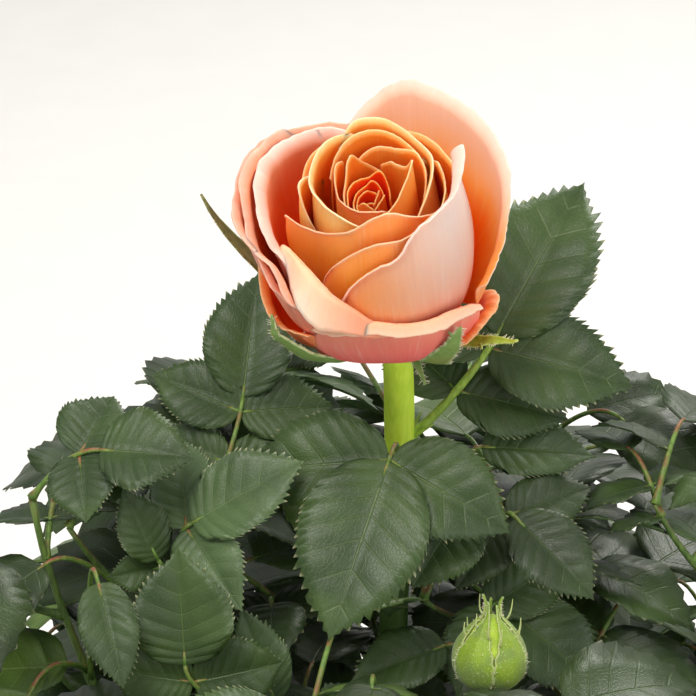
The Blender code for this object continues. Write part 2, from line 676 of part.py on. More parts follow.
# Sepals: direction round the bloom, how far up its side they reach, width, how far the tip stands off
SEPALS = [
    dict(turn=(-18, -66), reach=66, width=9.0, lift=0.5),
    dict(turn=(12, 38), reach=64, width=9.0, lift=0.5),
    dict(turn=(60, 60), reach=50, width=5.5, lift=8.0),
    dict(turn=(20, 20), reach=20, width=3.5, lift=9.0),
    dict(turn=(-97, -97), reach=108, width=8.0, lift=13.0),
]


def sepal_bmesh(p, bloom_bvh, lift):
    """A tapering blade that follows the bloom's underside a little way off it, then lets go."""
    steps = 6
    centre = Vector((0, 0, 22))
    places, halves, rays = [], [], []
    for i in range(steps + 1):
        share = i / steps
        theta = math.radians(p["turn"][0] + (p["turn"][1] - p["turn"][0]) * share)
        climb = math.radians(-76 + p["reach"] * share)
        out = Vector((math.sin(theta), -math.cos(theta), 0))
        across = Vector((math.cos(theta), math.sin(theta), 0))
        ray = out * math.cos(climb) + Vector((0, 0, 1)) * math.sin(climb)
        half = p["width"] / 2 * (0.75 + 0.6 * share - 1.35 * share ** 2.2) + 0.25
        far = 0.0
        for k in (-1.2, -0.6, 0, 0.6, 1.2):
            start = BLOOM_FRAME @ (centre + ray * 80 + across * (k * half))
            aim = (BLOOM_FRAME.to_3x3() @ -ray).normalized()
            hit = bloom_bvh.ray_cast(start, aim)
            if hit[0]:
                far = max(far, 80 - hit[3])
        places.append(centre + ray * (far + lift + p["lift"] * share ** 3))
        halves.append(half)
        rays.append(ray)
    bm = bmesh.new()
    rings = []
    for i, (place, half, ray) in enumerate(zip(places, halves, rays)):
        across = direction_of(places, i).cross(ray).normalized()
        corners = [place - ray * 0.1, place + across * half, place + ray * 0.9, place - across * half]
        rings.append([bm.verts.new(BLOOM_FRAME @ c) for c in corners])
    for low, high in zip(rings, rings[1:]):
        for k in range(4):
            bm.faces.new((low[k], low[(k + 1) % 4], high[(k + 1) % 4], high[k]))
    bm.faces.new(rings[0])
    bm.faces.new(rings[-1])
    bmesh.ops.recalc_face_normals(bm, faces=bm.faces)
    return bm


def build_calyx(material, bloom_bvh):
    pieces = [turned(HIP, 10, BLOOM_FRAME)]
    for p in SEPALS:
        lift = SEPAL_LIFT
        while True:
            bm = sepal_bmesh(p, bloom_bvh, lift)
            if lift > 8 or not bvh_of(bm).overlap(bloom_bvh):
                break
            lift += 0.4
        pieces.append(bm)
    return fuse("bloom_calyx", pieces, material)


def build_bud(material):
    pieces = [turned(BUD_PROFILE, 10, BUD_FRAME)]
    for k in range(BUD_TIPS):
        angle = math.tau * (k + 0.3) / BUD_TIPS
        out = Vector((math.cos(angle), math.sin(angle), 0))
        line = [(5.0, 17), (2.8, 22), (1.8 + k % 3, 27 + k % 2)]
        pieces.append(tube([BUD_FRAME @ (out * r + Vector((0, 0, h))) for r, h in line], 1.7, 0.4, 4))
    return fuse("bud", pieces, material)


def bvh_of_object(item):
    """A search tree of an object's surface, in millimetres."""
    bm = bmesh.new()
    bm.from_mesh(item.data)
    bmesh.ops.scale(bm, vec=(1 / MM, 1 / MM, 1 / MM), verts=bm.verts)
    tree = bvh_of(bm)
    bm.free()
    return tree


# ==== the bush ===========================================================================================
def main():
    clear_scene()
    bark = paint("bark", (0.16, 0.12, 0.075), 0.85)
    cane_green = paint("cane", (0.16, 0.20, 0.07), 0.6)
    stem_green = paint("stem", (0.27, 0.42, 0.09), 0.5)
    leaf_green = paint("leaf", (0.045, 0.11, 0.045), 0.45)
    petal_peach = paint("petal", (0.90, 0.36, 0.20), 0.5)
    sepal_green = paint("sepal", (0.23, 0.36, 0.12), 0.6)
    bud_green = paint("bud", (0.38, 0.52, 0.12), 0.5)
    space = Space()

    base = base_bmesh()
    base_bvh = bvh_of(base)
    space.add("crown_base", base)
    make_object("crown_base", base, bark)

    canes, cane_bvhs = {}, {}
    for name in CANES:
        canes[name] = cane_points(name, base_bvh)
        bm = tube(canes[name], *cane_radii(name), CANE_SIDES)
        cane_bvhs[name] = bvh_of(bm)
        print("cane", name, "meets", space.hit(bm))
        space.add(name, bm)
        make_object(name, bm, cane_green)

    hip_foot = BLOOM_FRAME @ Vector((0, 0, HIP[0][1] - SEAT_GAP))
    hip_dir = (BLOOM_FRAME.to_3x3() @ Vector((0, 0, 1))).normalized()
    cane = canes["cane_flower"]
    cane_dir = direction_of(cane, len(cane) - 1)
    start = cane[-1] + cane_dir * SEAT_GAP
    run = hermite(start + cane_dir * 4, cane_dir, hip_foot - hip_dir * 4, hip_dir, 7, 0.8)
    stem = [start] + run + [hip_foot]
    bm = tube(stem, *STEM_RADII, 8)
    stem_bvh = bvh_of(bm)
    space.add("flower_stem", bm)
    make_object("flower_stem", bm, stem_green)

    bloom = build_bloom(petal_peach)
    bloom_bvh = bvh_of_object(bloom)
    calyx = build_calyx(sepal_green, bloom_bvh)
    bud = build_bud(bud_green)
    for item in (bloom, calyx, bud):
        bm = bmesh.new()
        bm.from_mesh(item.data)
        bmesh.ops.scale(bm, vec=(1 / MM, 1 / MM, 1 / MM), verts=bm.verts)
        print(item.name, "meets", space.hit(bm))
        space.add(item.name, bm)
        bm.free()

    # every shoot's stem stands before any leaf grows
    shoots, pieces = {}, {}
    plans = []
    bud_dir = (BUD_LEAN.to_matrix() @ Vector((0, 0, 1))).normalized()
    for name, (cane_name, place, tip) in NAMED_SHOOTS.items():
        tip = Vector(tip) if tip else BUD_BASE - bud_dir * SEAT_GAP
        plans.append((name, cane_name, place, tip))
    for name, (cane_name, place, azimuth, reach, height) in TOP_SHOOTS.items():
        plans.append((name, cane_name, place, polar(azimuth, reach, height)))
    for cane_name, (azimuth, _, _, _) in CANES.items():
        if cane_name == "cane_flower":
            continue
        for kind, (place, turn, reach, height) in RULE_SHOOTS.items():
            name = cane_name.replace("cane", "shoot") + "_" + kind
            rng = random.Random(name)
            tip = polar(azimuth + turn + rng.uniform(-5, 5), reach * rng.uniform(0.92, 1.06),
                        height * rng.uniform(0.93, 1.08))
            plans.append((name, cane_name, place, tip))
    for name, cane_name, place, tip in plans:
        finish = bud_dir if name == "shoot_bud" else None
        points = shoot_points(canes[cane_name], cane_bvhs[cane_name], place, tip, finish)
        bm = tube(points, *TWIG_RADII, 3)
        print("shoot", name, "meets", space.hit(bm))
        space.add(name + "_stem", bm)
        shoots[name] = points
        pieces[name] = [bm]

    leaf_nodes = {}
    for name, (owner, foot, tip, width, pairs, first) in NEAR_LEAVES.items():
        foot, tip = Vector(foot), Vector(tip)
        rng = random.Random(name)
        if owner == "flower_stem":
            origin = at_height(stem, foot.z - STALK_RISE.get(name, 16))
            heading = foot - origin
            heading.z = min(max(heading.z, heading.length * 0.2), heading.length * 0.4)
            root = seated(stem_bvh, origin, heading, RACHIS_RADII[0] * 1.6)
            leave = heading.normalized()
            key = name
        else:
            points = shoots[owner]
            low = [q for q in points[1:] if q.z < foot.z - 6] or points[1:2]
            root = min(low, key=lambda q: (q - foot).length)
            leave = (foot - root).normalized() + Vector((0, 0, 0.4))
            key = owner
        line, leaflets = compound_leaf(root, leave, foot, tip, width, pairs, FACE_TO_LIGHT, NEAR_OUTLINE,
                                       first, rng)
        bms, blocked = place_leaf(space, key, line, leaflets, False)
        print("near leaf", name, len(bms) - 1, "of", len(leaflets), "blocked by", blocked)
        if not bms:
            continue
        if owner == "flower_stem":
            leaf_nodes[name] = bms
        else:
            pieces[owner] += bms

    count = 0
    for name, points in shoots.items():
        total = sum((b - a).length for a, b in zip(points, points[1:]))
        slots = int((total - 16.0) / LEAF_SPACING) + 1
        for slot in range(slots):
            for attempt in range(ATTEMPTS):
                line, leaflets = rule_leaf(points, name, slot, attempt)
                bms, blocked = place_leaf(space, name, line, leaflets, True)
                if bms:
                    pieces[name] += bms
                    count += len(bms) - 1
                    break
    print("rule leaflets", count)

    for name, bms in {**leaf_nodes, **pieces}.items():
        fuse(name, bms, leaf_green)

    total = 0
    for item in bpy.data.objects:
        item.data.calc_loop_triangles()
        faces = len(item.data.loop_triangles)
        total += faces
        print(f"{item.name:28s} {faces:6d}")
    print("objects", len(bpy.data.objects), "triangles", total)


main()
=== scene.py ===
# %% [markdown]
# # A patio rose bush, dressed over its solids
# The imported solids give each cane, shoot, leaf group, bloom and bud its place. Here every one of them is
# replaced by a finer piece that grows by the same rule: bark with relief, toothed leaflets with veins, thin
# curled petals. All lengths are written in millimetres, and MM turns them into Blender's metres.

# %% Load the frame
import math
import random
from functools import cache

import bmesh
import bpy
from mathutils import Euler, Matrix, Vector, noise
from mathutils.bvhtree import BVHTree
from mathutils.kdtree import KDTree


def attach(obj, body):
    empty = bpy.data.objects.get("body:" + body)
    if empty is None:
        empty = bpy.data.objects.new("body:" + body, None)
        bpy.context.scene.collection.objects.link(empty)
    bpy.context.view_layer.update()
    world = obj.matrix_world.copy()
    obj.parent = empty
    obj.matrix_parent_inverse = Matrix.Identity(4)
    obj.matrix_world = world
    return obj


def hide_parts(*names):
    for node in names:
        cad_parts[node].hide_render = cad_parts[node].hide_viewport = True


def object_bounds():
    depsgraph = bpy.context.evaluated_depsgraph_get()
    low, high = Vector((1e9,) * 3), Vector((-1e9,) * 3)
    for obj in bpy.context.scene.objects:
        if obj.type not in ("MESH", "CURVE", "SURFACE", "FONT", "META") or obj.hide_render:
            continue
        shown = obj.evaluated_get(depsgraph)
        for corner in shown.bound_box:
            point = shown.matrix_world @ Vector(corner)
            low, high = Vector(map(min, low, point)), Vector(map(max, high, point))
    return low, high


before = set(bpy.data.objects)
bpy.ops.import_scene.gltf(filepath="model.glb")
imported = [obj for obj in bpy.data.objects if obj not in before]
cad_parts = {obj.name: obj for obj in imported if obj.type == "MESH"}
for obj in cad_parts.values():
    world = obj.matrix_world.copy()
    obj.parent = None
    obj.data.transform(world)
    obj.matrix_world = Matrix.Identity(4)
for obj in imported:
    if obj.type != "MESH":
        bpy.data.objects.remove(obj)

MM = 0.001
UP = Vector((0, 0, 1))
cad_box = [list(corner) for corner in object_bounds()]
print("box of the solids in mm:", [[round(value / MM, 1) for value in corner] for corner in cad_box])

# %% Objects in the scene
def stand(name, data):
    """A new object in the scene."""
    item = bpy.data.objects.new(name, data)
    bpy.context.scene.collection.objects.link(item)
    return item


def look(item, place, heading):
    """Stand a camera or lamp at a place in metres, with its view along heading."""
    item.location = place
    item.rotation_mode = "QUATERNION"
    item.rotation_quaternion = heading.to_track_quat("-Z", "Y")


# %% [markdown]
# ## Camera
# A long lens from four fifths of a metre keeps the bloom's proportions calm, as a portrait lens does. The
# camera looks down by 28 degrees, aimed at the throat of the bloom's stem, so that the bloom, the leaves in
# front of it and the bud share the view.

# %% Camera
VIEW_ELEVATION = 28
VIEW_DISTANCE = 800
VIEW_WIDTH = 177.1                       # what the view spans at the aimed point
VIEW_AIM = Vector((-11.2, 0.0, 397.8))

elevation = math.radians(VIEW_ELEVATION)
to_camera = Vector((0, -math.cos(elevation), math.sin(elevation)))
VIEWPOINT = VIEW_AIM + to_camera * VIEW_DISTANCE
lens = bpy.data.cameras.new("view")
camera = stand("view", lens)
look(camera, VIEWPOINT * MM, -to_camera)
lens.sensor_width = 36.0
lens.lens = lens.sensor_width * VIEW_DISTANCE / VIEW_WIDTH
lens.clip_start = 0.01
bpy.context.scene.camera = camera
print("lens in mm:", round(lens.lens, 1))

# %% [markdown]
# ## Light and floor
# Petals and leaves read best in broad, soft light. A large key lamp hangs high over the plant, a little to
# the left and in front, a weaker one fills from the right front, and a third from behind gives rims and leaf
# edges a thin bright line. The floor is one plain pale plane.

# %% Light
MIDDLE = Vector((0.0, 0.0, 0.36))


def soft_lamp(name, place, size, power, tint):
    light = bpy.data.lights.new(name, "AREA")
    light.shape = "DISK"
    light.size = size
    light.energy = power
    light.color = tint
    look(stand(name, light), place, MIDDLE - Vector(place))


soft_lamp("key", (-0.35, -0.6, 1.55), 0.8, 17.0, (1.0, 0.97, 0.93))
soft_lamp("fill", (1.0, -1.1, 0.95), 1.2, 9.0, (1.0, 0.98, 0.95))
soft_lamp("rim", (0.5, 1.1, 1.2), 0.7, 14.0, (1.0, 0.98, 0.93))
world = bpy.data.worlds.new("studio")
bpy.context.scene.world = world
world.use_nodes = True
sky = world.node_tree.nodes["Background"].inputs
sky["Color"].default_value = (0.93, 0.94, 0.95, 1)
sky["Strength"].default_value = 0.6
bpy.context.scene.view_settings.view_transform = "Standard"

# %% [markdown]
# ## Materials as small node graphs
# A short helper adds a node, sets its inputs by name and links what is passed as an output, so that each
# finish below reads like a recipe. Colours are the usual hex codes, turned into Blender's linear values.

# %% Material helpers
SHEET_MAP = "sheet"                      # the UV map that every sheet carries


def colour(code):
    """Linear colour from a hex code in screen values."""
    screen = [int(code[i:i + 2], 16) / 255 for i in (1, 3, 5)]
    return (*[((c + 0.055) / 1.055) ** 2.4 if c > 0.04045 else c / 12.92 for c in screen], 1.0)


class Finish:
    """A material under construction: its node tree and the shader at its end."""

    def __init__(self, name, roughness, **sockets):
        self.material = bpy.data.materials.new(name)
        self.material.use_nodes = True
        self.tree = self.material.node_tree
        self.shader = self.tree.nodes["Principled BSDF"]
        for socket, value in {"Roughness": roughness, **sockets}.items():
            self.shader.inputs[socket.replace("_", " ")].default_value = value

    def put(self, socket, value):
        """Link an output to an input, or set the input to a value or a hex colour."""
        if isinstance(value, bpy.types.NodeSocket):
            self.tree.links.new(value, socket)
        else:
            socket.default_value = colour(value) if isinstance(value, str) else value

    def node(self, kind, output=0, settings=None, **inputs):
        item = self.tree.nodes.new("ShaderNode" + kind)
        for key, value in (settings or {}).items():
            setattr(item, key, value)
        for key, value in inputs.items():
            self.put(item.inputs[int(key[1:]) if key[1:].isdigit() else key.replace("_", " ")], value)
        return item.outputs[output]

    def math(self, operation, a, b=0.0, c=0.0):
        return self.node("Math", 0, {"operation": operation}, i0=a, i1=b, i2=c)

    def times(self, a, b):
        return self.math("MULTIPLY", a, b)

    def zigzag(self, value):
        """A wave with straight flanks: 0.5 at each whole number, 0 halfway between two."""
        return self.math("ABSOLUTE", self.math("SUBTRACT", self.math("FRACT", value), 0.5))

    def smooth(self, value, low, high):
        """0 below low, 1 above high and a soft step between; low may be the larger of the two."""
        return self.node("MapRange", 0, {"interpolation_type": "SMOOTHSTEP"}, Value=value,
                         From_Min=low, From_Max=high, To_Min=0.0, To_Max=1.0)

    def mix(self, share, a, b):
        return self.node("Mix", 2, {"data_type": "RGBA"}, i0=share, i6=a, i7=b)

    def tint(self, body, share, strength, code):
        """The body with a colour laid over it where share is 1, at this strength."""
        return self.mix(self.times(share, strength), body, code)

    def ramp(self, value, stops):
        item = self.tree.nodes.new("ShaderNodeValToRGB")
        while len(item.color_ramp.elements) < len(stops):
            item.color_ramp.elements.new(0.5)
        for element, (place, code) in zip(item.color_ramp.elements, stops):
            element.position = place
            element.color = colour(code)
        self.put(item.inputs[0], value)
        return item.outputs[0]

    def place(self):
        return self.node("TexCoord", 3)

    def uv(self):
        """A sheet's UV map: both coordinates, how far across, how far out from the middle, how far up."""
        both = self.node("UVMap", 0, {"uv_map": SHEET_MAP})
        across, up = [self.node("SeparateXYZ", k, i0=both) for k in (0, 1)]
        return both, across, self.math("ABSOLUTE", self.math("MULTIPLY_ADD", across, 2.0, -1.0)), up

    def noise(self, vector, scale, detail=3.0, roughness=0.5):
        return self.node("TexNoise", 0, None, Vector=vector, Scale=scale, Detail=detail, Roughness=roughness)

    def spots(self, scale, low, high, detail=2.0):
        """Soft spots all over the piece."""
        return self.smooth(self.noise(self.place(), scale, detail), low, high)

    def stretched(self, vector, *scales):
        """The same coordinates stretched, for grain that runs one way."""
        return self.node("Mapping", 0, None, Vector=vector, Scale=scales)

    def bump(self, height, depth, strength=1.0):
        normal = self.node("Bump", 0, None, Height=height, Distance=depth * MM, Strength=strength)
        self.put(self.shader.inputs["Normal"], normal)

    def base(self, value):
        self.put(self.shader.inputs["Base Color"], value)


# %% Floor
FLOOR_SIZE = 6.0                         # from its middle to its edge, in metres
floor_finish = Finish("pale_floor", 0.85)
floor_grain = floor_finish.noise(floor_finish.place(), 30.0)
floor_finish.base(floor_finish.mix(floor_grain, "#e9e7e2", "#e3e1dc"))
floor_shape = bmesh.new()
bmesh.ops.create_grid(floor_shape, x_segments=1, y_segments=1, size=FLOOR_SIZE)
floor_mesh = bpy.data.meshes.new("floor")
floor_shape.to_mesh(floor_mesh)
floor_shape.free()
floor_mesh.materials.append(floor_finish.material)
floor = stand("floor", floor_mesh)

# %% [markdown]
# ## From a shape to a piece
# Each piece is shaped as a bmesh in millimetres and becomes an object at the origin, so that its place is in
# its mesh. It rides on the plant's one body, hides the solids it stands for and takes its finishes.
# Flat grids make the thin things, and swept lines the round ones.

# %% Piece helpers
made = {}


def piece(name, bm, nodes, finishes):
    bmesh.ops.scale(bm, vec=(MM, MM, MM), verts=bm.verts)
    mesh = bpy.data.meshes.new(name)
    bm.to_mesh(mesh)
    bm.free()
    for finish in finishes:
        mesh.materials.append(finish.material)
    mesh.shade_smooth()
    item = stand(name, mesh)
    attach(item, "root")
    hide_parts(*nodes)
    made[name] = item
    return item


def grid_sheet(columns, rows, place_of, weld=0.0):
    """A grid with its UV map; place_of tells where a corner lies, -1 to 1 across and 0 to 1 up."""
    bm = bmesh.new()
    bm.loops.layers.uv.new(SHEET_MAP)
    bmesh.ops.create_grid(bm, x_segments=columns, y_segments=rows, size=1.0, calc_uvs=True)
    for vert in bm.verts:
        vert.co = place_of(vert.co.x, (vert.co.y + 1) / 2)
    if weld:
        bmesh.ops.remove_doubles(bm, verts=bm.verts, dist=weld)
    return bm


def sheets_piece(name, sheets, nodes, finishes, thickness, offset=0, back=0):
    """Sheets as one piece. Each comes with its finish's number; its back takes the one `back` further on."""
    joined = bmesh.new()
    joined.loops.layers.uv.new(SHEET_MAP)
    for bm, number in sheets:
        for face in bm.faces:
            face.material_index = number
        mesh = bpy.data.meshes.new("one_sheet")
        bm.to_mesh(mesh)
        bm.free()
        joined.from_mesh(mesh)
        bpy.data.meshes.remove(mesh)
    shell = piece(name, joined, nodes, finishes).modifiers.new("thickness", "SOLIDIFY")
    shell.thickness = thickness * MM
    shell.offset = offset
    shell.material_offset = back
    shell.material_offset_rim = 0
    print(name, "holds", len(sheets), "sheets")


def limb_shape(lines, resolution):
    """Round tapering limbs as one shape: every line is a bevelled spline with a radius at each point."""
    curve = bpy.data.curves.new("limbs", "CURVE")
    curve.dimensions = "3D"
    curve.bevel_depth = MM
    curve.bevel_resolution = resolution
    curve.use_fill_caps = True
    for points, radii in lines:
        spline = curve.splines.new("POLY")
        spline.points.add(len(points) - 1)
        for spot, point, radius in zip(spline.points, points, radii):
            spot.co = (*(point * MM), 1)
            spot.radius = radius
    holder = stand("limbs", curve)
    mesh = bpy.data.meshes.new_from_object(holder.evaluated_get(bpy.context.evaluated_depsgraph_get()))
    bpy.data.objects.remove(holder, do_unlink=True)
    bpy.data.curves.remove(curve)
    bm = bmesh.new()
    bm.from_mesh(mesh)
    bpy.data.meshes.remove(mesh)
    bmesh.ops.remove_doubles(bm, verts=bm.verts, dist=1e-6)
    bmesh.ops.recalc_face_normals(bm, faces=bm.faces)
    bmesh.ops.scale(bm, vec=(1 / MM, 1 / MM, 1 / MM), verts=bm.verts)
    return bm


def limbs_piece(name, lines, resolution, nodes, finish, ripple=None):
    """Limbs as one piece. A ripple, of a depth, a size and a stretch, pushes their skin in and out with
    noise that is drawn out lengthwise."""
    bm = limb_shape(lines, resolution)
    if ripple:
        depth, size, stretch = ripple
        bm.normal_update()
        for vert in bm.verts:
            spot = vert.co / size
            spot.z *= stretch
            vert.co += vert.normal * (noise.noise(spot) * depth)
    piece(name, bm, nodes, [finish])


# %% [markdown]
# ## The growth rule
# The solids were grown by a seeded rule. The same rule is written again here, with the same seeds, so that
# every fine leaf stands where its solid does. Lines are smooth curves that leave one point in a given
# direction and reach another in a given direction.

# %% Lines through space
def cubic(start, a, end, b, t):
    """The place at t, from 0 to 1, on a curve that leaves start at rate a and reaches end at rate b."""
    return (start * (2 * t**3 - 3 * t**2 + 1) + a * (t**3 - 2 * t**2 + t)
            + end * (3 * t**2 - 2 * t**3) + b * (t**3 - t**2))


def hermite(start, start_dir, end, end_dir, steps, pull=1.0):
    """Points on a smooth curve that leaves start along start_dir and reaches end along end_dir."""
    span = (end - start).length * pull
    a, b = start_dir.normalized() * span, end_dir.normalized() * span
    return [cubic(start, a, end, b, i / steps) for i in range(steps + 1)]


def direction_of(points, i):
    return (points[min(i + 1, len(points) - 1)] - points[max(i - 1, 0)]).normalized()


def along(points, share):
    """Point and direction at a share of a line, counted in its points."""
    place = min(max(share, 0.0), 1.0) * (len(points) - 1)
    i = min(int(place), len(points) - 2)
    return points[i].lerp(points[i + 1], place - i), (points[i + 1] - points[i]).normalized()


def at_height(points, height):
    """The place where a rising line reaches a height."""
    a, b = next((a, b) for a, b in zip(points, points[1:]) if b.z >= height)
    return a.lerp(b, (height - a.z) / (b.z - a.z))


def length_of(points):
    return sum((b - a).length for a, b in zip(points, points[1:]))


def nearest_on(points, spot):
    """The nearest point on a line of short straight runs."""
    found = []
    for a, b in zip(points, points[1:]):
        run = b - a
        found.append(a + run * min(max((spot - a).dot(run) / run.length_squared, 0.0), 1.0))
    return min(found, key=lambda point: (point - spot).length)


def polar(azimuth, reach, height):
    turn = math.radians(azimuth)
    return Vector((reach * math.cos(turn), reach * math.sin(turn), height))


def turned(grain, turn):
    """A direction square to grain, turned round it."""
    side = grain.orthogonal().normalized()
    return side * math.cos(turn) + grain.cross(side) * math.sin(turn)


def square_to(axis, face):
    """The direction nearest to face that is square to axis."""
    return (face - axis * face.dot(axis)).normalized()


# %% Where a limb meets the one that carries it
SEAT_GAP = 0.3
SEAT_STEP = 0.1
SEAT_REACH = 60                          # a seat lies no further from the origin than this
SEAT_CORNERS = 8
STRAIGHT_END = 4                         # a limb runs straight over this length at its foot


def solid_of(node):
    """Corners, in millimetres, and faces of a solid."""
    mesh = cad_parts[node].data
    return [v.co / MM for v in mesh.vertices], [tuple(p.vertices) for p in mesh.polygons]


def tree_of(node):
    return BVHTree.FromPolygons(*solid_of(node))


def outside(tree, point):
    """Signed distance from a point to a closed surface, positive outside."""
    place, normal, _, distance = tree.find_nearest(point)
    return distance if (point - place).dot(normal) > 0 else -distance


def seated(tree, origin, heading, radius):
    """The nearest point along heading from which a limb's flat foot clears the surface."""
    heading = heading.normalized()
    reach = 0.0
    while reach < SEAT_REACH:
        foot = origin + heading * reach
        rim = [foot] + [foot + turned(heading, math.tau * k / SEAT_CORNERS) * radius
                        for k in range(SEAT_CORNERS)]
        if min(outside(tree, p) for p in rim) > SEAT_GAP:
            return foot
        reach += SEAT_STEP
    raise ValueError("no seat found")


def carried_on(line):
    """Foot and heading of a limb that goes on from the end of another."""
    heading = direction_of(line, len(line) - 1)
    return line[-1] + heading * SEAT_GAP, heading


def straight_ended(foot, heading, tip, arrive, steps, pull=1.0):
    """A line that is straight at its foot and at its tip."""
    start, end = foot + heading * STRAIGHT_END, tip - arrive * STRAIGHT_END
    return [foot] + hermite(start, heading, end, arrive, steps, pull) + [tip]


# %% [markdown]
# ## Canes
# Seven canes spread from the woody base. Each is one smooth curve from its seat on the base to its tip, a
# little thicker at the nodes, where a bud sat. The same few numbers shaped the solids.

# %% Cane lines
KNOB = Vector((2.0, 1.0, 33.0))
CANES = {                                # azimuth, spread from vertical at the foot, reach, height of the tip
    "cane_front_left": (238, 58, 70, 165),
    "cane_front_right": (304, 55, 66, 170),
    "cane_right": (4, 58, 78, 178),
    "cane_back_right": (63, 54, 72, 186),
    "cane_back_left": (121, 58, 74, 180),
    "cane_left": (180, 54, 76, 182),
    "cane_flower": (92, 8, 9, 236),
}
CANE_RADII = (4.4, 3.0)
FLOWER_CANE_RADII = (5.0, 4.1)
CANE_RINGS = 7
FINE_RINGS = 72
base_tree = tree_of("crown_base")


def cane_radii(name):
    return FLOWER_CANE_RADII if name == "cane_flower" else CANE_RADII


def cane_line(name, steps):
    azimuth, spread, reach, top = CANES[name]
    flat = polar(azimuth, 1.0, 0.0)
    lean = math.radians(spread)
    heading = flat * math.sin(lean) + UP * math.cos(lean)
    foot = seated(base_tree, KNOB, heading, cane_radii(name)[0])
    return hermite(foot, heading, flat * reach + UP * top, flat * 0.12 + UP, steps)


coarse_canes = {name: cane_line(name, CANE_RINGS - 1) for name in CANES}
fine_canes = {name: cane_line(name, FINE_RINGS) for name in CANES}
cane_trees = {name: tree_of(name) for name in CANES}
print("cane lengths in mm:", {name: round(length_of(line)) for name, line in fine_canes.items()})

# %% [markdown]
# ## Shoots
# A leafy shoot carries on from a cane's tip or leaves its side. Five of them are listed one by one, because
# they hold the leaves round the bloom and the bud. The others follow from the canes' azimuths with a small
# seeded scatter.

# %% Shoot lines
BUD_BASE = Vector((24.4, -41.0, 318.5))
BUD_LEAN = Euler((math.radians(-9), math.radians(2), 0))
TWIG_RADIUS = 2.1
bud_up = (BUD_LEAN.to_matrix() @ UP).normalized()
NAMED_SHOOTS = {                         # cane, place along it (1 is its tip), tip
    "shoot_front_left": ("cane_front_left", 1.0, Vector((-43.0, -38.0, 312.0))),
    "shoot_bud": ("cane_front_right", 1.0, BUD_BASE - bud_up * SEAT_GAP),
    "shoot_right": ("cane_right", 1.0, Vector((32.0, 2.0, 338.0))),
    "shoot_left": ("cane_left", 1.0, Vector((-50.0, -4.0, 340.0))),
    "shoot_far_left": ("cane_left", 0.8, Vector((-92.0, -14.0, 362.0))),
}
TOP_SHOOTS = {                           # cane, place along it, azimuth, reach and height of the tip
    "shoot_back_right": ("cane_back_right", 1.0, 58, 88, 330),
    "shoot_back_left": ("cane_back_left", 1.0, 122, 84, 338),
    "shoot_far_right": ("cane_right", 0.8, 8, 104, 345),
    "shoot_back": ("cane_flower", 0.62, 88, 62, 318),
}
RULE_SHOOTS = {"low": (0.34, 27, 142, 168), "mid": (0.66, -27, 140, 250)}   # place, turn, reach, height


def shoot_plans():
    plans = [(name, *row) for name, row in NAMED_SHOOTS.items()]
    plans += [(name, cane, place, polar(*tip)) for name, (cane, place, *tip) in TOP_SHOOTS.items()]
    for cane, (azimuth, _, _, _) in CANES.items():
        if cane == "cane_flower":
            continue
        for kind, (place, turn, reach, height) in RULE_SHOOTS.items():
            name = cane.replace("cane", "shoot") + "_" + kind
            rng = random.Random(name)
            tip = polar(azimuth + turn + rng.uniform(-5, 5), reach * rng.uniform(0.92, 1.06),
                        height * rng.uniform(0.93, 1.08))
            plans.append((name, cane, place, tip))
    return plans


def shoot_line(name, cane_name, place, tip, steps):
    cane = coarse_canes[cane_name]
    if place >= 1.0:
        foot, heading = carried_on(cane)
    else:
        origin, grain = along(cane, place)
        heading = (square_to(grain, tip - origin) + grain * 0.55).normalized()
        foot = seated(cane_trees[cane_name], origin, heading, TWIG_RADIUS)
    if name == "shoot_bud":
        return straight_ended(foot, heading, tip, bud_up, steps)
    start = foot + heading * STRAIGHT_END
    return [foot] + hermite(start, heading, tip, (tip - foot).normalized() + UP * 0.7, steps)


SHOOT_STEPS, FINE_SHOOT_STEPS = 4, 28
coarse_shoots, fine_shoots = {}, {}
for name, *plan in shoot_plans():
    coarse_shoots[name] = shoot_line(name, *plan, SHOOT_STEPS)
    fine_shoots[name] = shoot_line(name, *plan, FINE_SHOOT_STEPS)
print(len(fine_shoots), "shoots,", round(sum(length_of(line) for line in fine_shoots.values())), "mm in all")

# %% [markdown]
# ## Flower stem
# The bloom stands on a stout juicy stem that carries on from the middle cane. Its line ends under the hip,
# along the axis on which the bloom leans towards the light.

# %% Flower stem line
BLOOM_BASE = Vector((0.0, 0.0, 409.3))
BLOOM_TILT = Euler((math.radians(22), math.radians(-5), 0))
HIP_DEPTH = 9.8                          # from the petals' foot down to the stem's end
bloom_matrix = Matrix.Translation(BLOOM_BASE) @ BLOOM_TILT.to_matrix().to_4x4()
bloom_up = (bloom_matrix.to_3x3() @ UP).normalized()


def stem_line(steps):
    foot, heading = carried_on(coarse_canes["cane_flower"])
    return straight_ended(foot, heading, bloom_matrix @ Vector((0, 0, -HIP_DEPTH)), bloom_up, steps, 0.8)


STEM_STEPS, FINE_STEM_STEPS = 7, 48
coarse_stem = stem_line(STEM_STEPS)
fine_stem = stem_line(FINE_STEM_STEPS)
print("flower stem in mm:", round(length_of(fine_stem)))
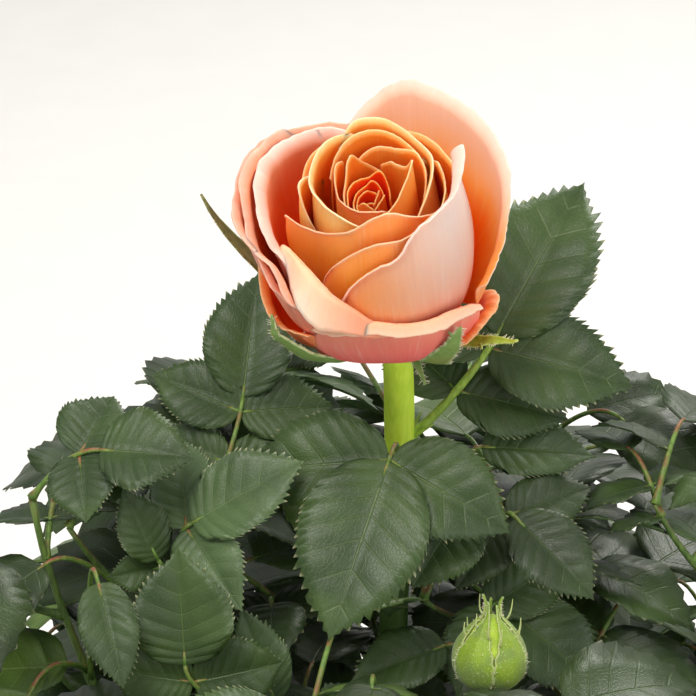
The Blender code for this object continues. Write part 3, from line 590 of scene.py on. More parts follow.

# %% [markdown]
# ## Compound leaves
# A rose leaf is a stalk with one end leaflet and opposite pairs behind it. The rule gives the stalk's line
# and, for each leaflet, its foot, tip, width and the frame it lies in. Leaves round the bloom are listed one
# by one; every other leaf turns round its shoot by the leaf angle, rises, then nods.

# %% Leaf rule
PAIR_ANGLE = 76
PAIR_SPACING = 14.0
RACHIS_STEPS = 2
PHYLLOTAXIS = 144
FIRST_LEAF = 16.0                        # from a shoot's foot to its first leaf
LEAF_SPACING = 54.0
STALK_REACH = 46                         # from the shoot to the end leaflet's foot
END_LEAFLET = 55                         # length of the end leaflet
FIRST_PAIR = 13.0                        # from the end leaflet's foot to the first pair
STALK_PULL = 0.9                         # how far a stalk keeps its first and last direction
ATTEMPTS = 5
FACE_TO_LIGHT = Vector((0.0, -0.55, 0.83))


def leaflet(base, tip, width, face, fold):
    axis = tip - base
    length = axis.length
    axis.normalize()
    normal = square_to(axis, face)
    return {"base": base, "tip": tip, "length": length, "width": width, "axis": axis, "normal": normal,
            "side": axis.cross(normal), "fold": fold}


def compound_leaf(root, leave, foot, tip, width_share, pairs, face, first, rng):
    """Stalk line and leaflets of one leaf."""
    axis = (tip - foot).normalized()
    normal = square_to(axis, face)
    side = axis.cross(normal)
    length = (tip - foot).length
    line = hermite(root, leave, foot, axis, RACHIS_STEPS, STALK_PULL)
    stalk = length_of(line)
    leaflets = [leaflet(foot, tip, length * width_share, face, 0.20 + rng.uniform(0, 0.1))]
    for pair in range(pairs):
        place, _ = along(line, 1 - (first + PAIR_SPACING * pair) / stalk)
        reach = length * (0.80 - 0.17 * pair)
        for hand in (-1, 1):
            angle = math.radians(PAIR_ANGLE + rng.uniform(-7, 7))
            run = axis * math.cos(angle) + side * (hand * math.sin(angle)) - normal * rng.uniform(0.02, 0.16)
            size = reach * rng.uniform(0.92, 1.06)
            leaflets.append(leaflet(place, place + run.normalized() * size, size * width_share * 1.02,
                                    normal, 0.20 + rng.uniform(0, 0.1)))
    return {"root": root, "leave": leave, "foot": foot, "axis": axis, "line": line, "leaflets": leaflets}


def rule_leaf(shoot, name, slot, attempt):
    """A leaf where the growth rule puts it: round the shoot by the leaf angle, rising, then nodding."""
    rng = random.Random(f"{name}:{slot}:{attempt}")
    place = (FIRST_LEAF + slot * LEAF_SPACING) / length_of(shoot)
    root, grain = along(shoot, place)
    turn = PHYLLOTAXIS * slot + 37 * len(name) + attempt * 31 + rng.uniform(-14, 14)
    round_ = turned(grain, math.radians(turn))
    flat = Vector((root.x, root.y, 0))
    outward = flat.normalized() if flat.length > 1 else round_
    heading = round_ + outward * 0.35
    heading.z = 0
    heading.normalize()
    size = rng.uniform(0.86, 1.08) * (1.0 - 0.10 * attempt) * (0.80 if place > 0.85 else 1.0)
    rise, nod = math.radians(rng.uniform(22, 46)), math.radians(rng.uniform(4, 34))
    leave = heading * math.cos(rise + 0.3) + UP * math.sin(rise + 0.3)
    foot = root + (heading * math.cos(rise) + UP * math.sin(rise)) * STALK_REACH * size
    tip = foot + (heading * math.cos(nod) - UP * math.sin(nod)) * END_LEAFLET * size
    face = UP + heading * 0.25 + Vector((rng.uniform(-0.25, 0.25), rng.uniform(-0.25, 0.25), 0))
    pairs = 2 if place < 0.9 else 1
    width_share = rng.uniform(0.60, 0.70)
    return compound_leaf(root, leave, foot, tip, width_share, pairs, face, FIRST_PAIR, rng)


# %% Leaves round the bloom
STALK_RISE = {"leaf_right": 30}          # climb of a stalk from the flower stem; 16 mm for the others
NEAR_LEAVES = {      # owner, foot of the end leaflet, its tip, width share, pairs, first pair's distance
    "leaf_front": ("flower_stem", (-1.0, -15.3, 373.2), (-16.2, -46.8, 339.5), 0.66, 1, 1.5),
    "leaf_right": ("flower_stem", (27.9, 23.7, 389.1), (52.1, 56.4, 418.7), 0.62, 2, 4.0),
    "leaf_back": ("flower_stem", (-16.0, 45.8, 384.0), (-30.0, 66.0, 396.0), 0.60, 1, 8.0),
    "upper": ("shoot_left", (-38.9, 18.7, 373.3), (-35.2, 43.1, 397.9), 0.66, 2, 4.0),
    "inner": ("shoot_left", (-50.9, -20.9, 358.5), (-22.1, -18.6, 375.6), 0.62, 1, 3.0),
    "outer": ("shoot_left", (-59.8, -21.9, 348.1), (-68.7, -16.7, 366.3), 0.62, 1, 4.0),
    "lift": ("shoot_front_left", (-52.5, -41.2, 328.8), (-53.8, -34.1, 359.2), 0.80, 1, 6.0),
    "spike": ("shoot_front_left", (-30.0, -33.0, 312.0), (-38.5, -27.0, 337.0), 0.50, 0, 4.0),
    "low": ("shoot_front_left", (-23.2, -57.7, 316.0), (-61.3, -61.9, 323.0), 0.60, 0, 4.0),
    "reach": ("shoot_far_left", (-73.7, -19.1, 378.9), (-49.8, -23.5, 379.1), 0.90, 1, 6.0),
    "hang": ("shoot_far_left", (-74.0, -36.0, 350.0), (-67.0, -55.0, 330.6), 0.50, 0, 4.0),
    "spread": ("shoot_right", (32.0, -9.9, 353.6), (52.0, -26.7, 339.0), 0.62, 1, 5.0),
    "near": ("shoot_right", (19.0, -9.0, 357.0), (5.0, -27.0, 342.5), 0.80, 0, 4.0),
    "high": ("shoot_right", (24.0, 12.0, 362.0), (54.0, 9.0, 361.0), 0.55, 0, 4.0),
    "under": ("shoot_bud", (14.0, -22.0, 322.0), (-11.0, -30.0, 316.0), 0.60, 0, 4.0),
    "round": ("shoot_bud", (30.0, -6.4, 324.0), (56.0, -20.5, 306.5), 0.64, 1, 5.0),
}
stem_tree = tree_of("flower_stem")
TIP_MATCH = 0.8                          # a fine leaflet is kept where a solid's tip lies this close


@cache
def corners_of(node):
    """A search tree of a solid's corners."""
    points, _ = solid_of(node)
    corners = KDTree(len(points))
    for k, point in enumerate(points):
        corners.insert(point, k)
    corners.balance()
    return corners


def keep_standing(leaf, node):
    """Keep the leaflets that found room on the solid: it has a corner at their tips."""
    leaf["leaflets"] = [blade for blade in leaf["leaflets"]
                        if corners_of(node).find(blade["tip"])[2] < TIP_MATCH]
    return leaf["leaflets"]


def near_leaf(name):
    owner, foot, tip, width, pairs, first = NEAR_LEAVES[name]
    foot, tip = Vector(foot), Vector(tip)
    if owner == "flower_stem":
        origin = at_height(coarse_stem, foot.z - STALK_RISE.get(name, 16))
        heading = foot - origin
        heading.z = min(max(heading.z, heading.length * 0.2), heading.length * 0.4)
        root = seated(stem_tree, origin, heading, 1.3 * 1.6)
        leave = heading.normalized()
    else:
        line = coarse_shoots[owner]
        low = [q for q in line[1:] if q.z < foot.z - 6] or line[1:2]
        root = min(low, key=lambda q: (q - foot).length)
        leave = (foot - root).normalized() + UP * 0.4
    return compound_leaf(root, leave, foot, tip, width, pairs, FACE_TO_LIGHT, first, random.Random(name))


grown = []                               # every leaf: the node it stands for, its kind, the leaf itself
for name, (owner, *_) in NEAR_LEAVES.items():
    leaf = near_leaf(name)
    node = name if owner == "flower_stem" else owner
    leaf.update(node=node, name=name, kind="near", carrier=fine_stem if node == name else fine_shoots[node])
    keep_standing(leaf, node)
    grown.append(leaf)

# %% Leaves by the rule
for name, line in coarse_shoots.items():
    for slot in range(int((length_of(line) - FIRST_LEAF) / LEAF_SPACING) + 1):
        for attempt in range(ATTEMPTS):
            leaf = rule_leaf(line, name, slot, attempt)
            end = leaf["leaflets"][0]
            if end in keep_standing(leaf, name):
                leaf.update(node=name, name=f"{name}:{slot}", kind="rule", carrier=fine_shoots[name])
                grown.append(leaf)
                break
print("leaves:", len(grown), "with", sum(len(leaf["leaflets"]) for leaf in grown), "leaflets")

# %% [markdown]
# ## Finer twigs and the leaves between
# The solids stop at one leaf every few centimetres. The bush goes on in the same way at a smaller size: a
# leaf halfway between each two, one at every tip, some on the flower stem, and short side twigs with leaves
# of their own. A leaf is kept only where it touches no solid and no leaf before it, stays within the crown's
# reach and leaves the bloom, the bud, the upper flower stem and the leaves listed one by one in view.

# %% Room for more leaves
def boxed(points):
    return [min(p[k] for p in points) for k in range(3)], [max(p[k] for p in points) for k in range(3)]


class Room:
    """What has already grown, as search trees with their boxes."""

    def __init__(self):
        self.taken = []

    def add(self, points, faces):
        self.taken.append((*boxed(points), BVHTree.FromPolygons(points, faces)))

    def free(self, points, faces):
        low, high = boxed(points)
        tree = BVHTree.FromPolygons(points, faces)
        return not any(all(low[k] < top[k] and bottom[k] < high[k] for k in range(3)) and tree.overlap(other)
                       for bottom, top, other in self.taken)


RIBBON_EDGE = Vector((1.0, 0.0, 1.2))    # from one edge of a ribbon to the other


def ribbon(line, points=(), faces=()):
    """A line as a narrow upright ribbon, added to other points and faces."""
    points, faces = list(points), list(faces)
    for a, b in zip(line, line[1:]):
        k = len(points)
        points += [a, b, b + RIBBON_EDGE, a + RIBBON_EDGE]
        faces += [(k, k + 1, k + 2), (k, k + 2, k + 3)]
    return points, faces


def blade_shape(blade, k=0):
    """A leaflet as two thin halves whose first corner has the number k."""
    middle = blade["base"] + blade["axis"] * (blade["length"] * 0.45)
    spread = blade["side"] * (blade["width"] / 2)
    lift = blade["normal"] * (blade["width"] * 0.12)
    return ([blade["base"], blade["tip"], middle + spread + lift, middle - spread + lift],
            [(k, k + 2, k + 1), (k, k + 1, k + 3)])


def leaf_shape(leaf):
    """A leaf as thin triangles: its leaflets, and a ribbon for its stalk beyond the first part."""
    points, faces = [], []
    for blade in leaf["leaflets"]:
        corners, halves = blade_shape(blade, len(points))
        points += corners
        faces += halves
    return ribbon(leaf["line"][1:], points, faces)


room = Room()
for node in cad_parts:
    room.add(*solid_of(node))

# %% What a new leaf keeps to
LOW_AND_HIGH = (12, 392)                 # new leaves stay between these heights
TRIAL_STEPS = 6                          # a new leaf's stalk is tried as a ribbon of this many parts
REACH_STEP = 30.0                        # the crown's reach is taken in rings of this height
BOX_MARGIN = 8.0                         # new leaves pass the sides of the solids' box by no more than this
STEM_IN_VIEW = 335.0                     # the flower stem stays in view above this height
reach_of_ring = {}
for leaf in grown:
    for blade in leaf["leaflets"]:
        ring = int(blade["tip"].z / REACH_STEP)
        reach_of_ring[ring] = max(reach_of_ring.get(ring, 0.0), Vector(blade["tip"][:2]).length)
box_start, box_end = (Vector(corner) / MM for corner in cad_box)
stem_points, stem_faces = solid_of("flower_stem")
high_faces = [face for face in stem_faces if sum(stem_points[i].z for i in face) > STEM_IN_VIEW * len(face)]
showpieces = [tree_of(node) for node in ("bloom", "bloom_calyx", "bud")]
showpieces.append(BVHTree.FromPolygons(stem_points, high_faces))
showpieces += [BVHTree.FromPolygons(*leaf_shape(leaf)) for leaf in grown if leaf["kind"] == "near"]


def in_crown(spot):
    """True within the crown's reach and not in front of the bloom, the bud or a leaf near them."""
    ring = int(spot.z / REACH_STEP)
    reach = max(reach_of_ring.get(k, 0.0) for k in (ring - 1, ring))
    if not LOW_AND_HIGH[0] < spot.z < LOW_AND_HIGH[1] or Vector(spot[:2]).length > reach:
        return False
    if any(not box_start[k] - BOX_MARGIN < spot[k] < box_end[k] + BOX_MARGIN for k in (0, 1)):
        return False
    return not any(tree.ray_cast(spot, spot - VIEWPOINT)[0] for tree in showpieces)


def has_room(blade):
    points, faces = blade_shape(blade)
    spots = points + [blade["base"].lerp(blade["tip"], 0.5)]
    return all(in_crown(spot) for spot in spots) and room.free(points, faces)


def try_leaf(leaf, node, name, carrier):
    """Keep a new leaf with those of its leaflets that have room; its end leaflet must have room."""
    kept = [blade for blade in leaf["leaflets"] if has_room(blade)]
    if not kept or kept[0] is not leaf["leaflets"][0]:
        return False
    stalk = hermite(leaf["root"], leaf["leave"], leaf["foot"], leaf["axis"], TRIAL_STEPS, STALK_PULL)
    if not room.free(*ribbon(stalk[2:])):
        return False
    leaf["leaflets"] = kept
    leaf.update(node=node, name=name, kind="rule", carrier=carrier)
    room.add(*leaf_shape(leaf))
    grown.append(leaf)
    return True


# %% Leaves between and at the tips
MORE_ATTEMPTS = 7
STEM_SLOTS = (0.0, 0.3, 0.6, 0.9)
STEM_ATTEMPTS = 28
STEM_TURNS = 9                           # after this many attempts their numbers start again


def grow_leaf(line, label, slot, node, carrier):
    """Try one slot of a line until a leaf finds room."""
    return any(try_leaf(rule_leaf(line, label, slot, attempt), node, f"{label}:{slot:.2f}", carrier)
               for attempt in range(MORE_ATTEMPTS))


before = len(grown)
for name, line in coarse_shoots.items():
    last = (length_of(line) - FIRST_LEAF) / LEAF_SPACING
    for slot in [0.5 + k for k in range(int(last + 0.5))] + ([last] if name != "shoot_bud" else []):
        grow_leaf(line, name, slot, name, fine_shoots[name])
for slot in STEM_SLOTS:                  # the flower stem carries leaves as well, on its front
    for attempt in range(STEM_ATTEMPTS):
        leaf = rule_leaf(coarse_stem, "flower_stem", slot, attempt % STEM_TURNS)
        label = f"flower_stem:{slot:.2f}:{attempt}"
        if leaf["foot"].y < leaf["root"].y and try_leaf(leaf, "flower_stem", label, fine_stem):
            break
print("leaves between:", len(grown) - before)

# %% Side twigs
SIDE_PLACES = (0.30, 0.48, 0.66, 0.84)
SIDE_LENGTH = (26.0, 52.0)
SIDE_ATTEMPTS = 4
side_twigs = []                          # every side twig: the node it stands for and its line


def side_twig(name, k, attempt):
    rng = random.Random(f"{name}/{k}/{attempt}")
    root, grain = along(fine_shoots[name], SIDE_PLACES[k])
    heading = turned(grain, math.radians(PHYLLOTAXIS * k + 70 + 61 * attempt + rng.uniform(-20, 20)))
    tip = root + (heading + grain * 0.5 + UP * 0.35).normalized() * rng.uniform(*SIDE_LENGTH)
    return hermite(root, heading + grain * 0.4, tip, (tip - root).normalized() + UP * 0.5, 10)


def grow_side_twig(name, k):
    """Let one side twig grow where there is room, and keep it if it carries a leaf."""
    for attempt in range(SIDE_ATTEMPTS):
        twig = side_twig(name, k, attempt)
        if in_crown(twig[-1]) and room.free(*ribbon(twig[3:])):
            room.add(*ribbon(twig[1:]))
            slots = ((length_of(twig) - FIRST_LEAF) / LEAF_SPACING, 0.1, 0.45)
            if any([grow_leaf(twig, f"{name}/{k}", slot, name, twig) for slot in slots]):
                side_twigs.append((name, twig))
            return


before = len(grown)
for name in coarse_shoots:
    for k in range(len(SIDE_PLACES)):
        grow_side_twig(name, k)
print("side twigs:", len(side_twigs), "with", len(grown) - before, "leaves")

# %% [markdown]
# ## Fitting the fine leaves to fine lines
# The solids follow coarse lines of a few points. Each fine stalk starts on the fine twig and runs as a smooth
# curve to the same place, and each leaflet's foot is moved onto it, so that nothing hangs beside its stalk.

# %% Smooth stalks
STALK_STEPS = 12
END_ON_TOP = 0.7                         # near leaves: the end leaflet lies this far above those beside it

for leaf in grown:
    root = nearest_on(leaf["carrier"], leaf["root"])
    leaf["line"] = hermite(root, leaf["leave"], leaf["foot"], leaf["axis"], STALK_STEPS, STALK_PULL)
    for blade in leaf["leaflets"]:
        blade["base"] = nearest_on(leaf["line"], blade["base"])
        axis = blade["tip"] - blade["base"]
        blade["length"] = axis.length
        blade["axis"] = axis.normalized()
        blade["normal"] = square_to(blade["axis"], blade["normal"])
        blade["side"] = blade["axis"].cross(blade["normal"])
    if leaf["kind"] == "near":
        for blade in leaf["leaflets"][1:]:
            blade["base"] = blade["base"] - blade["normal"] * END_ON_TOP

# %% [markdown]
# ## Leaflet blades
# A rose leaflet is an oval blade, folded upwards along its midrib, quilted between side veins that run
# forward to the margin, and toothed all round. A flat grid whose rows are laid along those veins gives all of
# this with few faces: every vein is a row of corners, every second corner on the margin is a tooth. Leaves
# near the bloom get a fine grid and bend less, the hundreds behind them a coarse one.

# %% Blade shape
BLADES = {           # columns, rows, side veins, quilt height, tooth length, midrib groove, share of the bend
    "near": dict(columns=10, rows=44, veins=8, quilt=0.45, tooth=1.75, groove=0.35, ease=0.5),
    "rule": dict(columns=4, rows=18, veins=6, quilt=0.5, tooth=1.7, groove=0.0, ease=1.0),
}
VEIN_LAG = 0.20                          # how far a side vein runs forward, as a share of the length
FOOT_WIDTH = 0.45
ARCH = 0.06                              # how high a blade arches, as a share of the length
WELD = 0.02                              # corners this close become one, at the tip of a sheet


def blade_outline(share):
    """Half width of a leaflet along its length, from 0 to 1: round at the foot, pointed at the tip."""
    share = min(max(share, 0.0), 1.0)
    return math.sin(math.pi * share ** 0.77) ** (0.58 + 0.75 * share * share)


def blade_sheet(blade, kind, rng):
    """One leaflet as a sheet in its own frame."""
    form = BLADES[kind]
    length, width = blade["length"], blade["width"]
    droop, twist = rng.uniform(0.02, 0.14) * form["ease"], rng.uniform(-0.10, 0.10)
    wave, phase = rng.uniform(0.3, 0.9), rng.uniform(0, math.tau)

    def place_of(across, share):
        out = abs(across) ** 1.1
        hump = math.sin(math.pi * share)
        along_leaf = share - VEIN_LAG * hump * (1 - out)
        half = blade_outline(share) * width / 2
        inner = 4 * out * (1 - out)
        bulge = abs(math.sin(math.pi * share * form["veins"]))
        rise = blade["fold"] * out * half * (1 - 0.3 * out * out)
        rise += ARCH * form["ease"] * length * 4 * along_leaf * (1 - along_leaf)
        rise += form["quilt"] * bulge * inner * min(1.0, half / 9.0)
        rise -= form["groove"] * max(0.0, 1 - out / 0.12) * hump
        rise += wave * math.sin(share * 13 + phase + across) * out * out * hump
        rise -= droop * length * max(0.0, along_leaf - 0.55) ** 2 * 2
        odd_row = round(share * form["rows"]) % 2 == 1
        if odd_row and out > 0.99 and 0.1 < share < 1 - 2 / form["rows"]:
            size = form["tooth"] * min(1.0, length / 45) * rng.uniform(0.45, 1.2)
            size *= min(1.0, 0.1 + 5 * (1 - share))
            half += size * 0.6
            along_leaf += size / length * 1.3
        offset = math.copysign(out * half + FOOT_WIDTH * (1 - share), across) if across else 0.0
        rise += twist * offset * along_leaf
        return (blade["base"] + blade["axis"] * (along_leaf * length) + blade["side"] * offset
                + blade["normal"] * rise)

    return grid_sheet(form["columns"], form["rows"], place_of, WELD)


# %% [markdown]
# ## Leaf finish
# A rose leaf is dark green above with a soft sheen, paler along its midrib and side veins, with a fine net
# between them and cream tips on some of its teeth. Its back is matt and pale. The veins are drawn from the
# blade's own UV map, whose rows run along them, so they fall in the grooves of the mesh. Tones are plain
# colours dealt out leaf by leaf.

# %% Leaf finish
TONES = [            # name, darker green, lighter green, veins
    ("deep", "#1d2b10", "#2a3c17", "#4c6230"),
    ("green", "#283b19", "#394e22", "#607540"),
    ("grey", "#394c2b", "#4c623a", "#718652"),
    ("fresh", "#3e5620", "#55702a", "#869a48"),
]
TONE_SHARES = {"near": (2, 5, 4, 1), "rule": (5, 4, 2, 1)}
MARGINS = {"near": 0.6, "rule": 0.25}    # strength of the cream tips


def leaf_finish(name, kind, dark, light, vein):
    form = BLADES[kind]
    finish = Finish(name, 0.42, Specular_IOR_Level=0.4)
    uv, _, out, row = finish.uv()
    step = finish.zigzag(finish.math("MULTIPLY_ADD", row, form["veins"], 0.5))
    side = finish.times(finish.smooth(step, 0.06, 0.012), finish.smooth(out, 1.0, 0.4))
    lines = finish.math("MAXIMUM", finish.smooth(out, 0.035, 0.008), finish.times(side, 0.5))
    net = finish.node("TexVoronoi", 0, {"feature": "DISTANCE_TO_EDGE"},
                      Vector=finish.stretched(uv, 26.0, 44.0, 1.0), Scale=1.0)
    body = finish.mix(finish.spots(55.0, 0.32, 0.68), dark, light)
    body = finish.tint(body, finish.smooth(net, 0.08, 0.0), 0.16, vein)
    body = finish.tint(body, lines, 0.36, vein)
    tooth = finish.zigzag(finish.times(row, form["rows"] / 2))
    tips = finish.times(finish.smooth(out, 0.94, 1.0), finish.smooth(tooth, 0.22, 0.04))
    tips = finish.times(tips, finish.spots(160.0, 0.4, 0.6, 1.0))
    finish.base(finish.tint(body, tips, MARGINS[kind], "#c2bf98"))
    mesh_relief = finish.times(finish.smooth(net, 0.0, 0.12), 0.22)
    finish.bump(finish.math("MULTIPLY_ADD", lines, -1.6, mesh_relief), 0.25, 0.55)
    return finish


def leaf_back_finish(kind):
    finish = Finish(f"leaf_{kind}_back", 0.7, Specular_IOR_Level=0.3)
    _, _, out, row = finish.uv()
    step = finish.zigzag(finish.math("MULTIPLY_ADD", row, BLADES[kind]["veins"], 0.5))
    lines = finish.math("MAXIMUM", finish.smooth(out, 0.06, 0.01), finish.smooth(step, 0.09, 0.02))
    finish.base(finish.tint("#5f7d4d", lines, 0.5, "#a9b783"))
    finish.bump(lines, 0.2, 0.5)
    return finish


# %% Blades as pieces
LEAF_THICKNESS = 0.32
SECTORS = {"right": (-45, 45), "back": (45, 135), "left": (135, 225), "front": (225, 315)}   # in degrees
leaf_finishes = {}
for kind in BLADES:
    fronts = [leaf_finish(f"leaf_{kind}_{tone}", kind, *codes) for tone, *codes in TONES]
    leaf_finishes[kind] = fronts + [leaf_back_finish(kind)] * len(TONES)


def blades_piece(name, leaves, kind):
    """All leaflets of these leaves as one piece."""
    sheets = []
    for leaf in leaves:
        rng = random.Random("blade:" + leaf["name"])
        tone = rng.choices(range(len(TONES)), TONE_SHARES[kind])[0]
        sheets += [(blade_sheet(blade, kind, rng), tone) for blade in leaf["leaflets"]]
    nodes = sorted({leaf["node"] for leaf in leaves})
    sheets_piece(name, sheets, nodes, leaf_finishes[kind], LEAF_THICKNESS, -1, len(TONES))


def in_sector(leaf, low, high):
    turn = math.degrees(math.atan2(leaf["foot"].y, leaf["foot"].x)) % 360
    return low <= turn < high or low <= turn - 360 < high


blades_piece("leaves_round_bloom", [leaf for leaf in grown if leaf["kind"] == "near"], "near")
rule_leaves = [leaf for leaf in grown if leaf["kind"] == "rule"]
for side, edges in SECTORS.items():
    blades_piece("leaves_" + side, [leaf for leaf in rule_leaves if in_sector(leaf, *edges)], "rule")

# %% [markdown]
# ## Twigs and leaf stalks
# Twigs, stalks and the short stalks of single leaflets are round tapering limbs. Blender sweeps a circle
# along each line, with a radius at every point, as a maker would lay up wire in wax. The twigs swell a little
# where a leaf leaves them. The leaf beside the bloom has a stouter green stalk with two stipules.

# %% Twig and stalk finish
def stalk_finish(name, green, dark, blush, amount, roughness=0.5, painted_shade=None):
    """Green skin with lengthwise streaks and a red blush on the side to the sun. A painted shade, for the
    shadow down among the leaves, is a darker tint and two heights between which it fades out upwards."""
    finish = Finish(name, roughness, Specular_IOR_Level=0.4, Subsurface_Weight=0.1, Subsurface_Scale=0.002)
    place = finish.place()
    streak = finish.smooth(finish.noise(finish.stretched(place, 1.0, 1.0, 0.16), 900.0, 2.0), 0.35, 0.7)
    body = finish.mix(streak, dark, green)
    # painted shade: the darker tint below the lower height, fading to the skin's own colour above the higher
    if painted_shade:
        tint, low, high = painted_shade
        height = finish.node("SeparateXYZ", 2, i0=place)
        body = finish.mix(finish.smooth(height, low * MM, high * MM), tint, body)
    up = finish.node("SeparateXYZ", 2, i0=finish.node("NewGeometry", 1))
    sunny = finish.times(finish.smooth(up, -0.1, 0.9), amount)
    finish.base(finish.tint(body, sunny, finish.spots(160.0, 0.38, 0.62), blush))
    finish.bump(streak, 0.12, 0.5)
    return finish


# %% Twigs and stalks
TWIG_TAPER = (1.85, 0.85)
SIDE_TAPER = (1.2, 0.7)
STALK_TAPER = (0.95, 0.55)
GREEN_TAPER = (1.5, 0.8)
STIPULE_RADII = [0.9, 0.85, 0.75, 0.6, 0.45, 0.3, 0.12]
STIPULE_LENGTH = 11.0


def swollen(points, taper, knots, height, reach):
    """Radii along a line: an even taper with a soft swelling at each knot."""
    radii = []
    for i, point in enumerate(points):
        radius = taper[0] + (taper[1] - taper[0]) * i / (len(points) - 1)
        near = min([(point - knot).length for knot in knots] or [reach])
        radii.append(radius * (1 + height * max(0.0, 1 - near / reach) ** 1.5))
    return radii


twig_lines, stalk_lines, green_lines = [], [], []
for name, line in fine_shoots.items():
    knots = [leaf["line"][0] for leaf in grown if leaf["node"] == name]
    twig_lines.append((line, swollen(line, TWIG_TAPER, knots, 0.3, 5.0)))
for node, line in side_twigs:
    twig_lines.append((line, swollen(line, SIDE_TAPER, line[:1], 0.4, 4.0)))
for leaf in grown:
    line = leaf["line"]
    if leaf["name"] == "leaf_right":
        foot, run = along(line, 0.02)
        green_lines.append((line, swollen(line, GREEN_TAPER, line[:1], 0.5, 5.0)))
        for hand in (-1, 1):
            heading = (run + run.cross(UP).normalized() * (0.45 * hand) + UP * 0.2).normalized()
            stipule = hermite(foot, run, foot + heading * STIPULE_LENGTH, heading, 6)
            green_lines.append((stipule, STIPULE_RADII))
    else:
        stalk_lines.append((line, swollen(line, STALK_TAPER, line[:1], 0.6, 4.0)))
    for blade in leaf["leaflets"]:
        short = [blade["base"] - blade["axis"] * 0.4, blade["base"] + blade["axis"] * 1.6,
                 blade["base"] + blade["axis"] * 3.6 + blade["normal"] * 0.1]
        stalk_lines.append((short, [0.5, 0.52, 0.28]))
limbs_piece("shoot_twigs", twig_lines, 3, sorted(fine_shoots),
            stalk_finish("twig_skin", "#5f7a36", "#46602a", "#7a4a35", 0.75))
leaf_nodes = sorted({leaf["node"] for leaf in grown} | set(fine_shoots))
limbs_piece("leaf_stalks", stalk_lines, 1, leaf_nodes,
            stalk_finish("stalk_skin", "#6d8a3c", "#557330", "#8a4238", 0.8))
limbs_piece("green_stalk", green_lines, 2, ["leaf_right"],
            stalk_finish("green_stalk_skin", "#9dbb4c", "#7f9f3a", "#8a6a40", 0.35))

# %% [markdown]
# ## Canes
# Older canes are olive green with brown corky streaks that run lengthwise. Each is swept like the twigs, but
# with more sides, and its skin is then pushed in and out by stretched noise, so that the bark catches light.

# %% Cane finish and pieces
CANE_NODE_SPACING = 24.0
CANE_RIPPLE = (0.35, 2.2, 0.3)


def bark_finish(name, green, brown, corky, depth):
    finish = Finish(name, 0.68, Specular_IOR_Level=0.35)
    place = finish.place()
    grain = finish.noise(finish.stretched(place, 1.0, 1.0, 0.2), 420.0, 5.0, 0.6)
    body = finish.mix(finish.noise(place, 60.0, 2.0), green, brown)
    finish.base(finish.mix(finish.smooth(grain, corky, corky + 0.14), body, "#8a7553"))
    finish.bump(grain, depth, 0.8)
    return finish


cane_finish = bark_finish("cane_bark", "#55652f", "#5d5332", 0.58, 0.5)
for name, line in fine_canes.items():
    count = int(length_of(line) / CANE_NODE_SPACING)
    knots = [along(line, (i + 0.6) / count)[0] for i in range(count)]
    limbs_piece("bark_of_" + name, [(line, swollen(line, cane_radii(name), knots, 0.16, 4.5))], 8,
                [name], cane_finish, CANE_RIPPLE)

# %% [markdown]
# ## Woody base
# Old roses stand on a thick woody foot, where the canes spring from a burr above a flared collar. Its profile
# is spun round once and then swollen, leaned and fissured, so that no ring stays a plain circle.

# %% Woody base
BASE_PROFILE = [                         # radius and height
    (24.0, 0), (19.5, 5), (16.5, 13), (15.5, 24), (16.5, 33), (15.0, 42), (8.5, 48),
]
BASE_LEAN = (0.06, 0.03)
ROOT_FLARE = 0.16
BASE_STEPS = 96


def base_swell(angle, height):
    flare = ROOT_FLARE * max(0.0, 1 - height / 16.0)
    return 1 + flare * math.cos(3 * angle + 0.6) + 0.05 * math.cos(2 * angle + height * 0.08)


def base_radius(height):
    for (r0, z0), (r1, z1) in zip(BASE_PROFILE, BASE_PROFILE[1:]):
        if z0 <= height <= z1:
            return r0 + (r1 - r0) * (height - z0) / (z1 - z0)
    return BASE_PROFILE[-1][0]


def spun(profile, steps):
    """A closed turned shape from (radius, height) points whose first and last lie on the axis."""
    bm = bmesh.new()
    verts = [bm.verts.new((radius, 0, height)) for radius, height in profile]
    edges = [bm.edges.new(pair) for pair in zip(verts, verts[1:])]
    bmesh.ops.spin(bm, geom=verts + edges, cent=(0, 0, 0), axis=(0, 0, 1), angle=math.tau, steps=steps,
                   use_merge=True)
    bmesh.ops.remove_doubles(bm, verts=bm.verts, dist=1e-4)
    bmesh.ops.recalc_face_normals(bm, faces=bm.faces)
    return bm


base_rings = [(base_radius(h * 0.8), h * 0.8) for h in range(61)]
base_shape = spun([(0, 0), (12, 0)] + base_rings + [(4.5, 49.2), (0, 49.6)], BASE_STEPS)
for vert in base_shape.verts:
    x, y, height = vert.co
    angle = math.atan2(y, x)
    swell = base_swell(angle, height)
    fissure = noise.noise(Vector((math.cos(angle) * 2.6, math.sin(angle) * 2.6, height * 0.05 + 3)))
    burr = noise.noise(Vector((x, y, height)) / 7.0)
    if height > 0.1 or math.hypot(x, y) > 13:
        swell *= 1 + 0.06 * fissure + 0.05 * burr * min(1.0, height / 30)
    vert.co = (x * swell + BASE_LEAN[0] * height, y * swell + BASE_LEAN[1] * height, height)
old_wood = bark_finish("old_wood", "#5a4c36", "#6b5a41", 0.55, 1.2)
piece("woody_base", base_shape, ["crown_base"], [old_wood])

# %% [markdown]
# ## Flower stem
# The stem is the youngest wood: bright yellow green, smooth and full of sap, with painted shade that darkens
# it down among the leaves, and only a faint ripple along its length.

